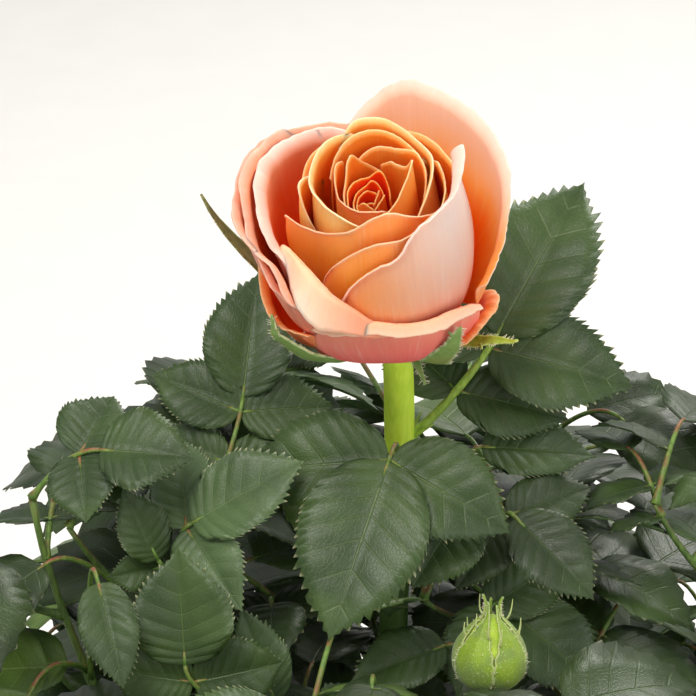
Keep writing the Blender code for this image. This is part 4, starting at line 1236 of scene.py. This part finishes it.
# %% Flower stem
# painted shade on the stem down among the leaves: a darker tint and the heights in mm over which it fades out
# upwards
STEM_PAINTED_SHADE = ("#4c6a2c", 322, 350)
STEM_RIPPLE = (0.12, 2.0, 0.15)
stem_radii = [3.95 + 0.25 * math.sin(i * 0.5) * 0.3 for i in range(len(fine_stem))]
stem_finish = stalk_finish("flower_stem_skin", "#d2ee4e", "#c4e442", "#c4cc50", 0.1, 0.4, STEM_PAINTED_SHADE)
limbs_piece("flower_stalk", [(fine_stem, stem_radii)], 8, ["flower_stem"], stem_finish, STEM_RIPPLE)

# %% [markdown]
# ## Petals
# A petal is told by its rim: a few places round the bloom's axis, each an angle, a radius and a height, and
# sometimes how wide the lip is there. A smooth line through them is the rim; a curve from the foot over the
# belly rises to it, and the lip rolls or folds over outwards at the top. Soft noise ruffles the surface. A
# flat grid is laid on it and given a thin thickness, and its UV map remembers how far each point is up and
# across the petal.

# %% Petal shape
PETAL = dict(belly=22, sag=0, lean=92, lip=3.0, roll=50, fold=0, foot=0.6, wave=0.3, freq=2.0, phase=0.0,
             shift=(0, 0), ruffle=0.12)
BODY = 0.8                               # share of a petal's rows under the lip
LIP_STEPS = 10


def rim_at(p, u):
    """Angle, radius, height and lip share of a petal's rim at u (-1 to 1 across), on a smooth line."""
    rim = [(*spot, 1.0)[:4] for spot in p["rim"]]
    place = (u + 1) / 2 * (len(rim) - 1)
    i = min(int(place), len(rim) - 2)
    t = place - i
    values = []
    for k in range(4):
        a, b, c, d = [rim[min(max(j, 0), len(rim) - 1)][k] for j in range(i - 1, i + 3)]
        values.append(b + 0.5 * t * (c - a + t * (2 * a - 5 * b + 4 * c - d + t * (3 * (b - c) + d - a))))
    return values


def curl(p, length, share):
    """How far out and up the lip has come at a share of its length; a fold turns early on."""
    bend = p["fold"] or 1.0
    spot = Vector((0, 0))
    for i in range(LIP_STEPS):
        angle = math.radians(p["lean"] - p["roll"] * min(1.0, share * (i + 0.5) / LIP_STEPS / bend))
        spot += Vector((math.cos(angle), math.sin(angle))) * (length * share / LIP_STEPS)
    return spot


def petal_point(p, u, s):
    """Place on a petal at u across and s up it (0 at the foot, 1 at the rim), in the bloom's own frame."""
    angle, radius, height, lip = rim_at(p, u)
    lip *= p["lip"]
    top = Vector((radius, height))
    if not p["fold"]:                    # the rim's places are the end of the lip, or else the fold's edge
        top -= curl(p, lip, 1.0)
    lean = math.radians(p["lean"])
    t = min(s / BODY, 1.0)
    foot, belly = Vector((2.2, 0)), Vector((p["belly"], p["sag"]))
    chest = top - Vector((math.cos(lean), math.sin(lean))) * max(height, 12) * 0.42
    spot = foot * (1 - t) ** 3 + belly * (3 * t * (1 - t) ** 2) + chest * (3 * t * t * (1 - t)) + top * t ** 3
    if s > BODY:
        spot += curl(p, lip, (s - BODY) / (1 - BODY))
    rho = spot.x + p["wave"] * math.sin(p["freq"] * u * math.pi + p["phase"]) * s ** 3
    z = spot.y + p["wave"] * 0.7 * math.sin(p["freq"] * 1.7 * u * math.pi + p["phase"] * 2.1) * s ** 4
    crease = noise.noise(Vector((angle * 0.16, radius, 2.0 * s)))
    crease += 0.5 * noise.noise(Vector((angle * 0.4, height, s)))
    rho += p["ruffle"] * crease * s ** 3
    z += 1.4 * p["ruffle"] * noise.noise(Vector((radius, angle * 0.28, 0.0))) * s ** 6
    middle = (p["rim"][0][0] + p["rim"][-1][0]) / 2
    ease = min(1.0, s * 1.35)
    share = p["foot"] + (1 - p["foot"]) * ease * ease * (3 - 2 * ease)
    theta = math.radians(middle + (angle - middle) * share)
    x, y = p["shift"]
    return Vector((math.sin(theta) * rho + x * ease, -math.cos(theta) * rho + y * ease, z))


# %% The petals, from the outside in
GUARD_PETALS = [
    # tall, right and back
    dict(belly=25, lean=84, lip=4.5, roll=60, phase=1.0,
         rim=[(64, 26, 19), (76, 28, 22.5), (88, 30, 26), (97, 32, 32.5), (107, 33, 39.5),
              (132, 33, 45.5), (153, 33, 48), (165, 33, 49), (178, 32.5, 45), (202, 29, 33)]),
    # left and back, outermost
    dict(belly=26, lean=86, lip=4, roll=60, phase=0.3, wave=0.5, freq=4,
         rim=[(-178, 29, 34), (-142, 32, 42.5), (-110, 34.5, 46), (-86, 36, 44), (-68, 34.5, 39.5),
              (-55, 32, 29.5), (-44, 28.5, 21)]),
    # left, wavy rim
    dict(belly=25, lean=88, lip=4, roll=70, phase=2, wave=0.6, freq=5,
         rim=[(-150, 30, 40), (-122, 33, 46), (-96, 33.5, 48), (-78, 34, 41), (-58, 33, 38),
              (-48, 31.5, 28.5), (-41, 28, 23), (-35, 24.5, 17)]),
    # left, low
    dict(belly=26, sag=-1, lean=80, lip=4, roll=60,
         rim=[(-104, 31, 34), (-90, 32, 29), (-78, 32.5, 18), (-64, 31.5, 13), (-46, 29, 15)]),
    # left, rolled rim
    dict(belly=23, lean=90, lip=5, roll=75, phase=4, wave=0.4, freq=3,
         rim=[(-176, 26, 33), (-152, 30, 40), (-122, 30, 45), (-100, 30.5, 46.5), (-82, 30.5, 43),
              (-70, 29.3, 38.5), (-62, 27.8, 34), (-56, 26, 28)]),
    # front and right, upright
    dict(belly=26.5, sag=-1, lean=102, lip=2, roll=95, wave=0.1, foot=0.75,
         rim=[(-38, 22.5, 18), (-22, 22.5, 33), (-6, 22, 39.5), (9, 22, 42.5), (23, 21.5, 49.5),
              (44, 21, 51.5), (62, 20.5, 51, 1.4), (76, 21.5, 55, 2.8), (95, 21, 55.5, 2.8), (108, 21, 44)]),
    # front and left, folded out
    dict(belly=24, sag=-1, lean=100, lip=9, roll=155, fold=0.3, wave=0.2, freq=3,
         rim=[(-82, 23, 19, 0.2), (-78, 24.5, 30, 0.3), (-70, 25.3, 36, 0.45), (-60, 24.4, 35.4, 0.6),
              (-48, 24, 34, 1.15), (-36, 24, 30.3, 1.3), (-22, 24, 26.6, 0.9), (-8, 24, 22.5, 0.5),
              (2, 23.5, 20, 0.3)]),
    # front, low
    dict(belly=25.5, sag=-5, lean=98, lip=4.5, roll=150, fold=0.5, freq=3, phase=0.5,
         rim=[(-54, 26, 12, 0.3), (-38, 26, 19, 0.7), (-12, 24.5, 22.5), (12, 24.5, 21),
              (34, 24.5, 19.5), (50, 24.5, 16.5, 0.8), (62, 24.5, 12, 0.4)]),
    # right, low and flared
    dict(belly=22, sag=-2, lean=75, lip=5, roll=85, foot=0.7,
         rim=[(40, 25, 5), (50, 26.5, 7), (62, 27.5, 7.5), (76, 27.5, 6.5), (90, 26.5, 3), (104, 24, -3)]),
]
MIDDLE_PETALS = [
    # front, upper
    dict(belly=16, lean=99, lip=1.6, roll=35, foot=0.8, wave=0.15,
         rim=[(-98, 21, 26), (-86, 23.5, 39.5), (-79, 20.5, 38), (-66, 16.5, 37.5), (-48, 15.5, 41),
              (-28, 15.5, 45), (-8, 15.5, 50.5), (9, 15.5, 52), (32, 15.5, 47.5), (54, 15.5, 44)]),
    # front, lower
    dict(belly=19.5, lean=99, lip=1.6, roll=30, foot=0.8, wave=0.15,
         rim=[(-62, 19.5, 16), (-50, 19, 28.5), (-28, 19, 39), (-7, 19, 45), (16, 19, 46), (42, 19, 49),
              (60, 19, 46)]),
    # left, small
    dict(belly=19, lean=98, lip=1.8, roll=40, wave=0.1,
         rim=[(-124, 17, 40), (-106, 18, 45.5), (-90, 19.5, 47.5), (-83, 18.5, 40), (-78, 16.5, 33)]),
    # left round to the front
    dict(belly=17, lean=96, lip=2.6, roll=55, wave=0.1,
         rim=[(-168, 16, 47), (-149, 17, 49), (-123, 17, 50), (-95, 17, 47), (-74, 15, 46), (-46, 14, 46),
              (-14, 13, 43.5)]),
    # back round to the right
    dict(belly=18, lean=97, lip=2.4, roll=50, wave=0.1,
         rim=[(42, 12, 40.5), (72, 12.5, 47), (105, 14, 48), (138, 17, 45), (160, 18, 47.5),
              (176, 18, 50.5), (198, 18, 50.5), (216, 16, 46)]),
    # back, inner
    dict(belly=14, lean=96, lip=2, roll=45, wave=0.1,
         rim=[(110, 12.5, 43), (148, 14, 47), (176, 14, 50.5), (206, 14, 50), (227, 14, 47),
              (244, 13.5, 43)]),
    # right
    dict(belly=18, lean=98, lip=1.8, roll=40, wave=0.1,
         rim=[(22, 16.5, 40), (56, 17, 45), (90, 16, 46), (108, 15.5, 46.5), (128, 16, 43),
              (150, 17, 38)]),
    # right, outer
    dict(belly=21, lean=95, lip=2.2, roll=50,
         rim=[(76, 19, 41), (100, 19.5, 44), (130, 20.5, 42.5), (160, 21, 43.5), (195, 20, 41)]),
    # left, deep
    dict(belly=22, lean=94, lip=2.2, roll=50, phase=2,
         rim=[(-185, 20.5, 40), (-150, 21, 44), (-122, 21, 42.5), (-106, 20.5, 36), (-97, 20.5, 27)]),
]
INNER_PETALS = [
    # back
    dict(belly=12, lean=96, lip=1.6, roll=35, wave=0.1,
         rim=[(76, 11, 43), (94, 11.5, 47), (122, 11.5, 49.5), (152, 11, 47.5), (185, 11, 47.5),
              (222, 11, 42.5)]),
    # left, pointed
    dict(belly=10, lean=94, lip=1.4, roll=30, wave=0.1,
         rim=[(170, 8, 40.5), (189, 9.6, 42.5), (207, 9.3, 46), (223, 9.2, 50), (238, 8.8, 48.5),
              (251, 8.5, 46), (270, 9, 42), (288, 8.6, 39)]),
    # right, pointed
    dict(belly=10, lean=94, lip=1.4, roll=30, wave=0.1,
         rim=[(-14, 8.3, 42), (5, 8.9, 44.5), (30, 8.4, 47.5), (49, 8, 50), (75, 8.2, 52.5), (93, 8.5, 53),
              (112, 7.6, 48.5), (138, 7.4, 46.5), (158, 7.9, 46), (176, 8.8, 43.5)]),
    # left round to the front, narrow
    dict(belly=10, lean=94, lip=1.4, roll=30, wave=0.1,
         rim=[(-130, 11.2, 47.5), (-117, 11.3, 48.5), (-103, 11, 46), (-90, 10.5, 43), (-77, 9.3, 42.3),
              (-63, 8.3, 42.3), (-45, 7.4, 42.5), (-27, 6.8, 43), (2, 6.6, 43.2), (22, 6.4, 41.5)]),
]
CORE = dict(shift=(-2.6, -0.4), belly=4, lean=94, lip=0.9, roll=25, wave=0.05)
CORE_PETALS = [
    dict(rim=[(98, 5, 40), (125, 5.6, 43), (150, 6, 45.5), (178, 5, 44), (208, 4.8, 44), (235, 5, 44),
              (258, 5.4, 43), (282, 5.5, 40.5)]),
    dict(rim=[(116, 3.9, 39.5), (137, 4.2, 41.5), (166, 4.5, 43.3), (190, 4, 42.2), (212, 3.9, 41.5),
              (240, 4, 41), (264, 4.2, 39.5), (302, 3.9, 38.5)]),
    dict(rim=[(148, 3.3, 40), (190, 3.2, 41), (230, 3.2, 40.4), (262, 3.4, 39), (292, 3.2, 38)]),
    dict(rim=[(66, 0.9, 39.6), (105, 1.5, 40.6), (122, 2.4, 41.4), (131, 3.3, 42)], belly=2),
    dict(rim=[(38, 1.8, 39.2), (75, 2.3, 40.2), (98, 3.2, 40.9), (109, 4, 41.2)], belly=2.5),
    dict(rim=[(-94, 3, 39), (-70, 2.2, 40.8), (-40, 1.8, 41.3), (0, 1.9, 40.4), (32, 2.3, 39)], belly=2.5),
    dict(rim=[(100, 2.2, 36), (180, 2.4, 37.5), (260, 2.2, 36.5), (330, 1.8, 36)], belly=2),
]

# %% Petal finish
PETAL_TONES = {      # reverse and face: the way up from foot to rim in hundredths, and the colour there
    "pale": ("0 d84a40, 25 ee8064, 50 f8b4a0, 72 facec2, 100 fad8ce",
             "0 c41a06, 25 f03c06, 40 f87c18, 52 eea454, 62 e4b48c, 74 e2baa6, 100 eac8bc"),
    "blush": ("0 c84038, 40 e87864, 80 f4a690, 100 f6c2b0",
              "0 e81806, 30 ff2c04, 46 ff480c, 60 ff6e34, 74 fc946e, 88 f8b6a4, 100 f8cabc"),
    "salmon": ("0 c83a30, 40 ea6a50, 80 f08e76, 100 ee9e8a",
               "0 e0200a, 35 fb4408, 60 fb6a24, 80 f89068, 100 f4b09c"),
    "flame": ("0 d03a28, 40 f45c38, 80 f88a58, 100 f8a478",
              "0 e02004, 40 fb3c06, 70 fb6014, 90 fa8440, 100 f8ac7c"),
    "cream": ("0 d04038, 40 ea7c58, 70 f3a884, 82 f6ceaa, 100 f6dcc2",
              "0 d8240a, 40 f26c20, 70 f5a468, 82 f6caa4, 100 f7d8c2"),
    "coral": ("0 ea4450, 30 f85c60, 55 fd7e6e, 76 fb987c, 100 f9ba9e",
              "0 d8240a, 40 f26624, 70 f4985e, 82 f6b08c, 100 f7c4aa"),
    "apricot": ("0 f07a10, 45 fa8c1c, 62 fb9634, 80 f89a58, 100 fabc94",
                "0 d41404, 42 f44006, 62 fb7010, 80 fc9430, 100 fbb87c"),
    "butter": ("0 f4641a, 50 fc9430, 72 fcb460, 88 fbd090, 100 f9d6aa",
               "0 d41404, 42 f44006, 60 fb7614, 76 fca040, 90 fbc07c, 100 facc9e"),
    "heart": ("0 f44a0c, 40 fc7c1a, 66 fc9a3c, 86 fbae66, 100 fbc08a",
              "0 d41404, 42 f44006, 60 fb7010, 78 fc9230, 90 fba85c, 100 fbbe86"),
    "core": ("0 e83204, 50 fa6810, 80 fc9234, 100 fcb468",
             "0 e01002, 60 f01a04, 82 f84808, 93 fc8028, 100 fcaa5e"),
}
FLUSHES = {          # tint, up to which height, and where across the petal it sets in and is full
    "reverse_pale": ("#f68a3c", 1.25, 0.62, 0.12),
    "face_pale": ("#f39630", 1.7, 0.45, 0.1),
    "face_cream": ("#f0906e", 4.0, 0.5, 0.85),
}
STREAKS = {"reverse": 0.5, "face": 0.2}


def petal_finish(side, tone, stops):
    """Velvet skin whose colour runs from the petal's foot to its rim, with faint streaks that fan out. Their
    ridges are tinted pale, partly as paler veins and partly as a painted highlight.
    """
    finish = Finish(f"petal_{side}_{tone}", 0.55, Specular_IOR_Level=0.22, Subsurface_Weight=0.85,
                    Subsurface_Scale=0.0012, Subsurface_Radius=(1.0, 0.8, 0.65))
    uv, across, _, up = finish.uv()
    vein = finish.noise(finish.stretched(uv, 46.0, 3.0, 1.0), 1.0, 4.0, 0.6)
    cloud = finish.noise(finish.stretched(uv, 3.0, 2.0, 1.0), 1.0, 2.0)
    reach = finish.math("MULTIPLY_ADD", finish.math("SUBTRACT", cloud, 0.5), 0.2, up)
    reach = finish.math("MULTIPLY_ADD", finish.math("SUBTRACT", vein, 0.5), 0.1, reach)
    stops = [stop.split() for stop in stops.split(",")]
    body = finish.ramp(reach, [(int(place) / 100, "#" + code) for place, code in stops])
    flush = FLUSHES.get(f"{side}_{tone}")
    if flush:                            # one side of the petal takes another colour, up to a height
        code, top, start, end = flush
        low = finish.times(finish.smooth(across, start, end), finish.smooth(reach, top, top * 0.5))
        body = finish.tint(body, low, 0.9, code)
    # pale tint where the streaks rise: partly paler veins, partly a painted highlight on the wrinkles' ridges
    finish.base(finish.tint(body, finish.smooth(vein, 0.52, 0.75), 0.25 * STREAKS[side], "#fde0d4"))
    finish.bump(vein, STREAKS[side], 0.6)
    return finish


petal_finishes = {tone: [petal_finish(side, tone, stops) for side, stops in zip(STREAKS, both)]
                  for tone, both in PETAL_TONES.items()}

# %% Petals as pieces
PETAL_THICKNESS = 0.35
ROW_EASE = 0.85                          # rows lie closer together towards a petal's rim
GUARD_RUFFLE = 0.4
GUARD_TONES = ["pale", "salmon", "salmon", "flame", "blush", "pale", "cream", "coral", "flame"]
MIDDLE_TONES = ["apricot"] * 2 + ["butter"] * 3 + ["heart"] * 4
HEART_TONES = ["heart"] * 3 + ["apricot"] + ["core"] * len(CORE_PETALS)


def petal_sheet(p, columns, rows):
    p = {**PETAL, **p}

    def place_of(across, share):
        return bloom_matrix @ petal_point(p, across, share ** ROW_EASE)
    return grid_sheet(columns, rows, place_of)


def petals_piece(name, petals, tones, columns, rows):
    """Petals as one piece; each has the two finishes of its tone, reverse and face."""
    used = sorted(set(tones))
    sheets = [(petal_sheet(p, columns, rows), 2 * used.index(tone)) for p, tone in zip(petals, tones)]
    finishes = [finish for tone in used for finish in petal_finishes[tone]]
    sheets_piece(name, sheets, ["bloom"], finishes, PETAL_THICKNESS, 0, 1)


petals_piece("guard_petals", [{"ruffle": GUARD_RUFFLE, **p} for p in GUARD_PETALS], GUARD_TONES, 60, 40)
petals_piece("middle_petals", MIDDLE_PETALS, MIDDLE_TONES, 40, 30)
petals_piece("heart_petals", INNER_PETALS + [{**CORE, **p} for p in CORE_PETALS], HEART_TONES, 36, 26)

# %% [markdown]
# ## Hip and sepals
# Under the petals sits the green hip, and five sepals lie against them or hang free. Each sepal is a narrow
# tapering blade that follows the bloom's underside a little way off. Rays cast at the bloom's solid find how
# far out it has to lie. Lobes and fine hairs stand off its edges.

# %% Sepal lines
HIP = [(3.75, -9.8), (4.5, -8.6), (5.8, -6.4), (7.0, -4.0), (7.2, -2.4), (6.6, -0.9), (5.0, 0.4)]
SEPALS = [           # direction at foot and tip, how far up the side it reaches, width, free tip, side lobes
    dict(turn=(-18, -66), reach=66, width=10.0, lift=1.5, tilt=-30, tone=0,
         lobes=[(0.92, 1, 2.5), (0.86, -1, 2.0)]),
    dict(turn=(12, 38), reach=64, width=10.0, lift=1.5, tilt=30, tone=0,
         lobes=[(0.62, -1, 5.0), (0.92, -1, 2.5)]),
    dict(turn=(60, 60), reach=50, width=5.5, lift=8.0, tilt=0, tone=1,
         lobes=[(0.42, 1, 8.0), (0.70, -1, 2.5)]),
    dict(turn=(20, 20), reach=20, width=3.5, lift=9.0, tilt=0, tone=0,
         lobes=[(0.45, 1, 3.0), (0.60, 1, 2.5)]),
    dict(turn=(-97, -97), reach=100, width=8.0, lift=11.0, tilt=0, tone=2,
         lobes=[(0.62, -1, 7), (0.54, -1, 6), (0.60, 1, 4)]),
]
SEPAL_ROWS = 20
SEPAL_LIFT = 1.0
bloom_tree = tree_of("bloom")
BLOOM_MIDDLE = Vector((0, 0, 22))


def sepal_line(p):
    """Places, half widths, outward rays and sideways directions along a sepal, in the bloom's own frame."""
    rays, halves, fars = [], [], []
    for i in range(SEPAL_ROWS + 1):
        share = i / SEPAL_ROWS
        theta = math.radians(p["turn"][0] + (p["turn"][1] - p["turn"][0]) * share)
        climb = math.radians(-76 + p["reach"] * share)
        across = Vector((math.cos(theta), math.sin(theta), 0))
        ray = Vector((math.sin(theta), -math.cos(theta), 0)) * math.cos(climb) + UP * math.sin(climb)
        half = p["width"] / 2 * (0.75 + 0.6 * share - 1.35 * share ** 2.2) + 0.2
        far = 0.0
        for k in (-0.8, 0, 0.8):
            start = bloom_matrix @ (BLOOM_MIDDLE + ray * 80 + across * (k * half))
            hit = bloom_tree.ray_cast(start, (bloom_matrix.to_3x3() @ -ray).normalized())
            if hit[0]:
                far = max(far, 80 - hit[3])
        rays.append(ray)
        halves.append(half)
        fars.append(far)
    for _ in range(3):                   # even out the steps that petal rims leave
        fars = [max(far, (fars[max(i - 1, 0)] + fars[min(i + 1, SEPAL_ROWS)]) / 2)
                for i, far in enumerate(fars)]
    places = [BLOOM_MIDDLE + ray * (far + SEPAL_LIFT + p["lift"] * (i / SEPAL_ROWS) ** 3)
              for i, (ray, far) in enumerate(zip(rays, fars))]
    tilt = math.radians(p["tilt"])
    sides = [(direction_of(places, i).cross(ray).normalized() * math.cos(tilt) + ray * math.sin(tilt))
             for i, ray in enumerate(rays)]
    return list(zip(places, halves, rays, sides))


# %% Sepal sheets, lobes and hairs
def sepal_sheet(rows):
    def place_of(x, share):
        row = round(share * SEPAL_ROWS)
        place, half, ray, side = rows[row]
        spread = half * (1 + (0.10 * (row % 2) if abs(x) > 0.9 else 0))
        cup = 0.9 * (1 - x * x) * (1 - row / SEPAL_ROWS)
        return bloom_matrix @ (place + side * (x * spread) + ray * cup)
    return grid_sheet(6, SEPAL_ROWS, place_of)


def sepal_edge(rows, share, hand):
    """A place on a sepal's edge and the directions along it and away from it."""
    i = min(max(round(share * SEPAL_ROWS), 1), SEPAL_ROWS - 1)
    run = (rows[i + 1][0] - rows[i - 1][0]).normalized()
    place, half, _, side = rows[i]
    return place + side * (hand * half * 0.9), run, side * hand


def lobe_sheet(rows, share, hand, length):
    """A narrow pointed lobe that leaves the sepal's edge forwards."""
    foot, run, away = sepal_edge(rows, share, hand)
    heading = (run * 0.75 + away * 0.65).normalized()
    side = (run * 0.65 - away * 0.75).normalized()

    def place_of(across, place):
        half = (0.16 * length * (1 - place ** 1.4) + 0.08) * across
        return bloom_matrix @ (foot + heading * (length * place - 0.6) + side * half
                               + away * (0.12 * length * place ** 2))
    return grid_sheet(2, 8, place_of)


def sepal_hairs(rows, hand, count, rng):
    """Fine glandular hairs that stand off a sepal's edge, as lines with a radius at each end."""
    lines = []
    for _ in range(count):
        foot, run, away = sepal_edge(rows, rng.uniform(0.06, 0.97), hand)
        foot = foot + run * rng.uniform(-1.2, 1.2) - away * rng.uniform(0, 0.5)
        ray = foot.normalized() * rng.uniform(-0.2, 0.5)
        tip = foot + (away + run * rng.uniform(0.1, 0.7) + ray).normalized() * rng.uniform(0.6, 1.7)
        lines.append(([bloom_matrix @ foot, bloom_matrix @ tip], [0.09, 0.04]))
    return lines


# %% Hip and sepals
SEPAL_THICKNESS = 0.5
HAIRS_PER_WIDTH = 16                     # hairs along one edge for each millimetre of a sepal's width


def sepal_finish(name, dark, light, edge):
    finish = Finish(name, 0.6, Specular_IOR_Level=0.35, Subsurface_Weight=0.1, Subsurface_Scale=0.002)
    _, _, out, _ = finish.uv()
    grain = finish.noise(finish.place(), 700.0, 3.0)
    body = finish.tint(finish.mix(grain, dark, light), finish.spots(90.0, 0.55, 0.78), 0.35, "#94703e")
    rim = finish.times(finish.smooth(out, 0.72, 1.0), finish.smooth(grain, 0.3, 0.6))
    finish.base(finish.tint(body, rim, 0.7, edge))
    finish.bump(grain, 0.2, 0.8)
    return finish


calyx_finishes = [sepal_finish("sepal_green", "#5d7a38", "#88a45c", "#c8d0a4"),
                  sepal_finish("sepal_fresh", "#7a9c20", "#a2c040", "#c8d480"),
                  sepal_finish("sepal_olive", "#444a1c", "#6e7030", "#8c8a50")]
hair_finish = Finish("sepal_hair", 0.6)
hair_finish.base(hair_finish.mix(hair_finish.noise(hair_finish.place(), 300.0), "#c9c89a", "#e4e0c4"))
sheets, hairs = [], []
for k, p in enumerate(SEPALS):
    rows = sepal_line(p)
    parts = [sepal_sheet(rows)] + [lobe_sheet(rows, *lobe) for lobe in p["lobes"]]
    sheets += [(bm, p["tone"]) for bm in parts]
    for hand in (-1, 1):
        rng = random.Random(f"hairs {k} {hand}")
        hairs += sepal_hairs(rows, hand, round(HAIRS_PER_WIDTH * p["width"]), rng)
sheets_piece("sepals", sheets, ["bloom_calyx"], calyx_finishes, SEPAL_THICKNESS)
limbs_piece("sepal_hairs", hairs, 0, ["bloom_calyx"], hair_finish)
hip_shape = spun([(0, HIP[0][1])] + HIP + [(0, 0.8)], 32)
bmesh.ops.transform(hip_shape, matrix=bloom_matrix, verts=hip_shape.verts)
hip_shape.loops.layers.uv.new(SHEET_MAP)
piece("hip", hip_shape, ["bloom_calyx"], [calyx_finishes[0]])

# %% [markdown]
# ## Bud
# The bud is still wrapped in its five sepals, which meet in small curled tips. Its core is a turned egg, each
# sepal is a curved leaf-shaped sheet laid over it, and narrow lobes and fine hairs line the sepals' edges.

# %% Bud shape
BUD_PROFILE = [                          # radius and height
    (1.6, 0), (3.4, 1.2), (4.2, 3.0), (5.2, 4.2), (8.0, 7.0), (8.9, 11.0), (8.0, 15.0), (5.2, 19.2),
    (2.0, 22.6),
]
BUD_SEPALS = 5
BUD_HALVES = [46, 34, 44, 38, 40]        # half the angle that each sepal covers, in degrees
BUD_HAIRS = 45                           # along each edge of a sepal
BUD_THICKNESS = 0.4
bud_matrix = Matrix.Translation(BUD_BASE) @ BUD_LEAN.to_matrix().to_4x4()


def bud_radius(height):
    """Radius of the bud's egg at a height, along a smooth line through its profile."""
    for i, ((r0, z0), (r1, z1)) in enumerate(zip(BUD_PROFILE, BUD_PROFILE[1:])):
        if height <= z1:
            t = max(0.0, (height - z0) / (z1 - z0))
            before = BUD_PROFILE[max(i - 1, 0)]
            after = BUD_PROFILE[min(i + 2, len(BUD_PROFILE) - 1)]
            rate0 = (r1 - before[0]) / max(z1 - before[1], 0.1) * (z1 - z0)
            rate1 = (after[0] - r0) / max(after[1] - z0, 0.1) * (z1 - z0)
            return cubic(r0, rate0, r1, rate1, t)
    return BUD_PROFILE[-1][0]


def bud_spot(k, side, share):
    """Place on a sepal of the bud, side -1 to 1 across it and share up it, to its free curled tip."""
    rng = random.Random(f"bud sepal {k}")
    bend, reach, lean = rng.uniform(-0.2, 1.6), rng.uniform(26.0, 29.0), rng.uniform(-0.3, 0.3)
    height = 3.2 + (reach - 3.2) * share
    wide = math.radians(BUD_HALVES[k]) * (1 - share ** 2.2) * (0.75 + 0.3 * math.sin(math.pi * share)) + 0.03
    wide *= 1 + 0.05 * math.sin(share * 47 + 3 * side)
    radius = bud_radius(min(height, 22.6)) + 0.35 + 0.3 * (k % 2)
    if height > 22.0:
        radius = max(0.9, radius - (height - 22.0) * 0.35) + (height - 22.0) ** 2 * 0.05 * bend
    radius += 0.45 * (1 - abs(side)) ** 2 + 0.5 * abs(side) ** 6 * share
    angle = math.tau * (k + 0.3) / BUD_SEPALS + side * wide + lean * share ** 2
    return Vector((radius * math.cos(angle), radius * math.sin(angle), height))


def bud_sepal_sheet(k):
    return grid_sheet(12, 30, lambda side, share: bud_matrix @ bud_spot(k, side, share), WELD)


def bud_fringe(k):
    """Narrow lobes and fine hairs along a sepal's edges, as lines with a radius at each place."""
    rng = random.Random(f"bud fringe {k}")
    lobes, fine = [], []
    for side in (-1, 1):
        foot = bud_spot(k, side * 0.9, rng.uniform(0.5, 0.8))
        out = Vector((foot.x, foot.y, 0)).normalized()
        tip = foot + out * rng.uniform(0.6, 2.4) + UP * rng.uniform(3.0, 6.0)
        lobes.append((hermite(foot, out, tip, UP, 6), [0.32, 0.34, 0.32, 0.28, 0.22, 0.16, 0.10]))
        for _ in range(BUD_HAIRS):
            foot = bud_spot(k, side * rng.uniform(0.86, 1.0), rng.uniform(0.15, 0.97))
            out = Vector((foot.x, foot.y, 0)).normalized()
            away = out + UP * rng.uniform(-0.1, 0.9)
            away += Vector((-out.y, out.x, 0)) * side * rng.uniform(0.0, 0.8)
            fine.append(([foot, foot + away.normalized() * rng.uniform(0.4, 1.1)], [0.08, 0.04]))
    return [[([bud_matrix @ spot for spot in line], radii) for line, radii in lines]
            for lines in (lobes, fine)]


# %% Bud
def bud_skin(name, dark, light, grey, edge):
    finish = Finish(name, 0.5, Specular_IOR_Level=0.4, Subsurface_Weight=0.15, Subsurface_Scale=0.002,
                    Sheen_Weight=0.25, Sheen_Roughness=0.4)
    uv, _, out, _ = finish.uv()
    streak = finish.noise(finish.stretched(uv, 16.0, 2.5, 1.0), 1.0, 3.0)
    grain = finish.noise(finish.place(), 2200.0, 2.0)
    body = finish.mix(finish.spots(110.0, 0.42, 0.62), finish.mix(streak, dark, light), grey)
    body = finish.tint(body, finish.smooth(grain, 0.58, 0.72), 0.45, "#d6dea6")
    finish.base(finish.tint(body, finish.smooth(out, 0.86, 1.0), edge, "#c4cf8e"))
    finish.bump(finish.math("ADD", streak, grain), 0.25, 0.8)
    return finish


bud_core = spun([(0, 0)] + [(bud_radius(h * 0.5), h * 0.5) for h in range(1, 46)] + [(0, 23.4)], 40)
bmesh.ops.transform(bud_core, matrix=bud_matrix, verts=bud_core.verts)
piece("bud_core", bud_core, ["bud"], [bud_skin("bud_core_skin", "#7f9c18", "#9cb82a", "#a8c030", 0.0)])
lobes, fine = [], []
for k in range(BUD_SEPALS):
    for kept, lines in zip((lobes, fine), bud_fringe(k)):
        kept += lines
sepal_skin = bud_skin("bud_sepal_skin", "#6c8a14", "#8ca628", "#6e863c", 0.6)
sheets_piece("bud_sepals", [(bud_sepal_sheet(k), 0) for k in range(BUD_SEPALS)], ["bud"], [sepal_skin],
             BUD_THICKNESS)
limbs_piece("bud_lobes", lobes, 0, ["bud"], sepal_skin)
limbs_piece("bud_hairs", fine, 0, ["bud"], hair_finish)

# %% Sizes and the end
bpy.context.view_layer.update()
for item in made.values():
    mesh = item.evaluated_get(bpy.context.evaluated_depsgraph_get()).data
    mesh.calc_loop_triangles()
    print(f"{item.name:24s} {len(mesh.loop_triangles):8d} triangles")
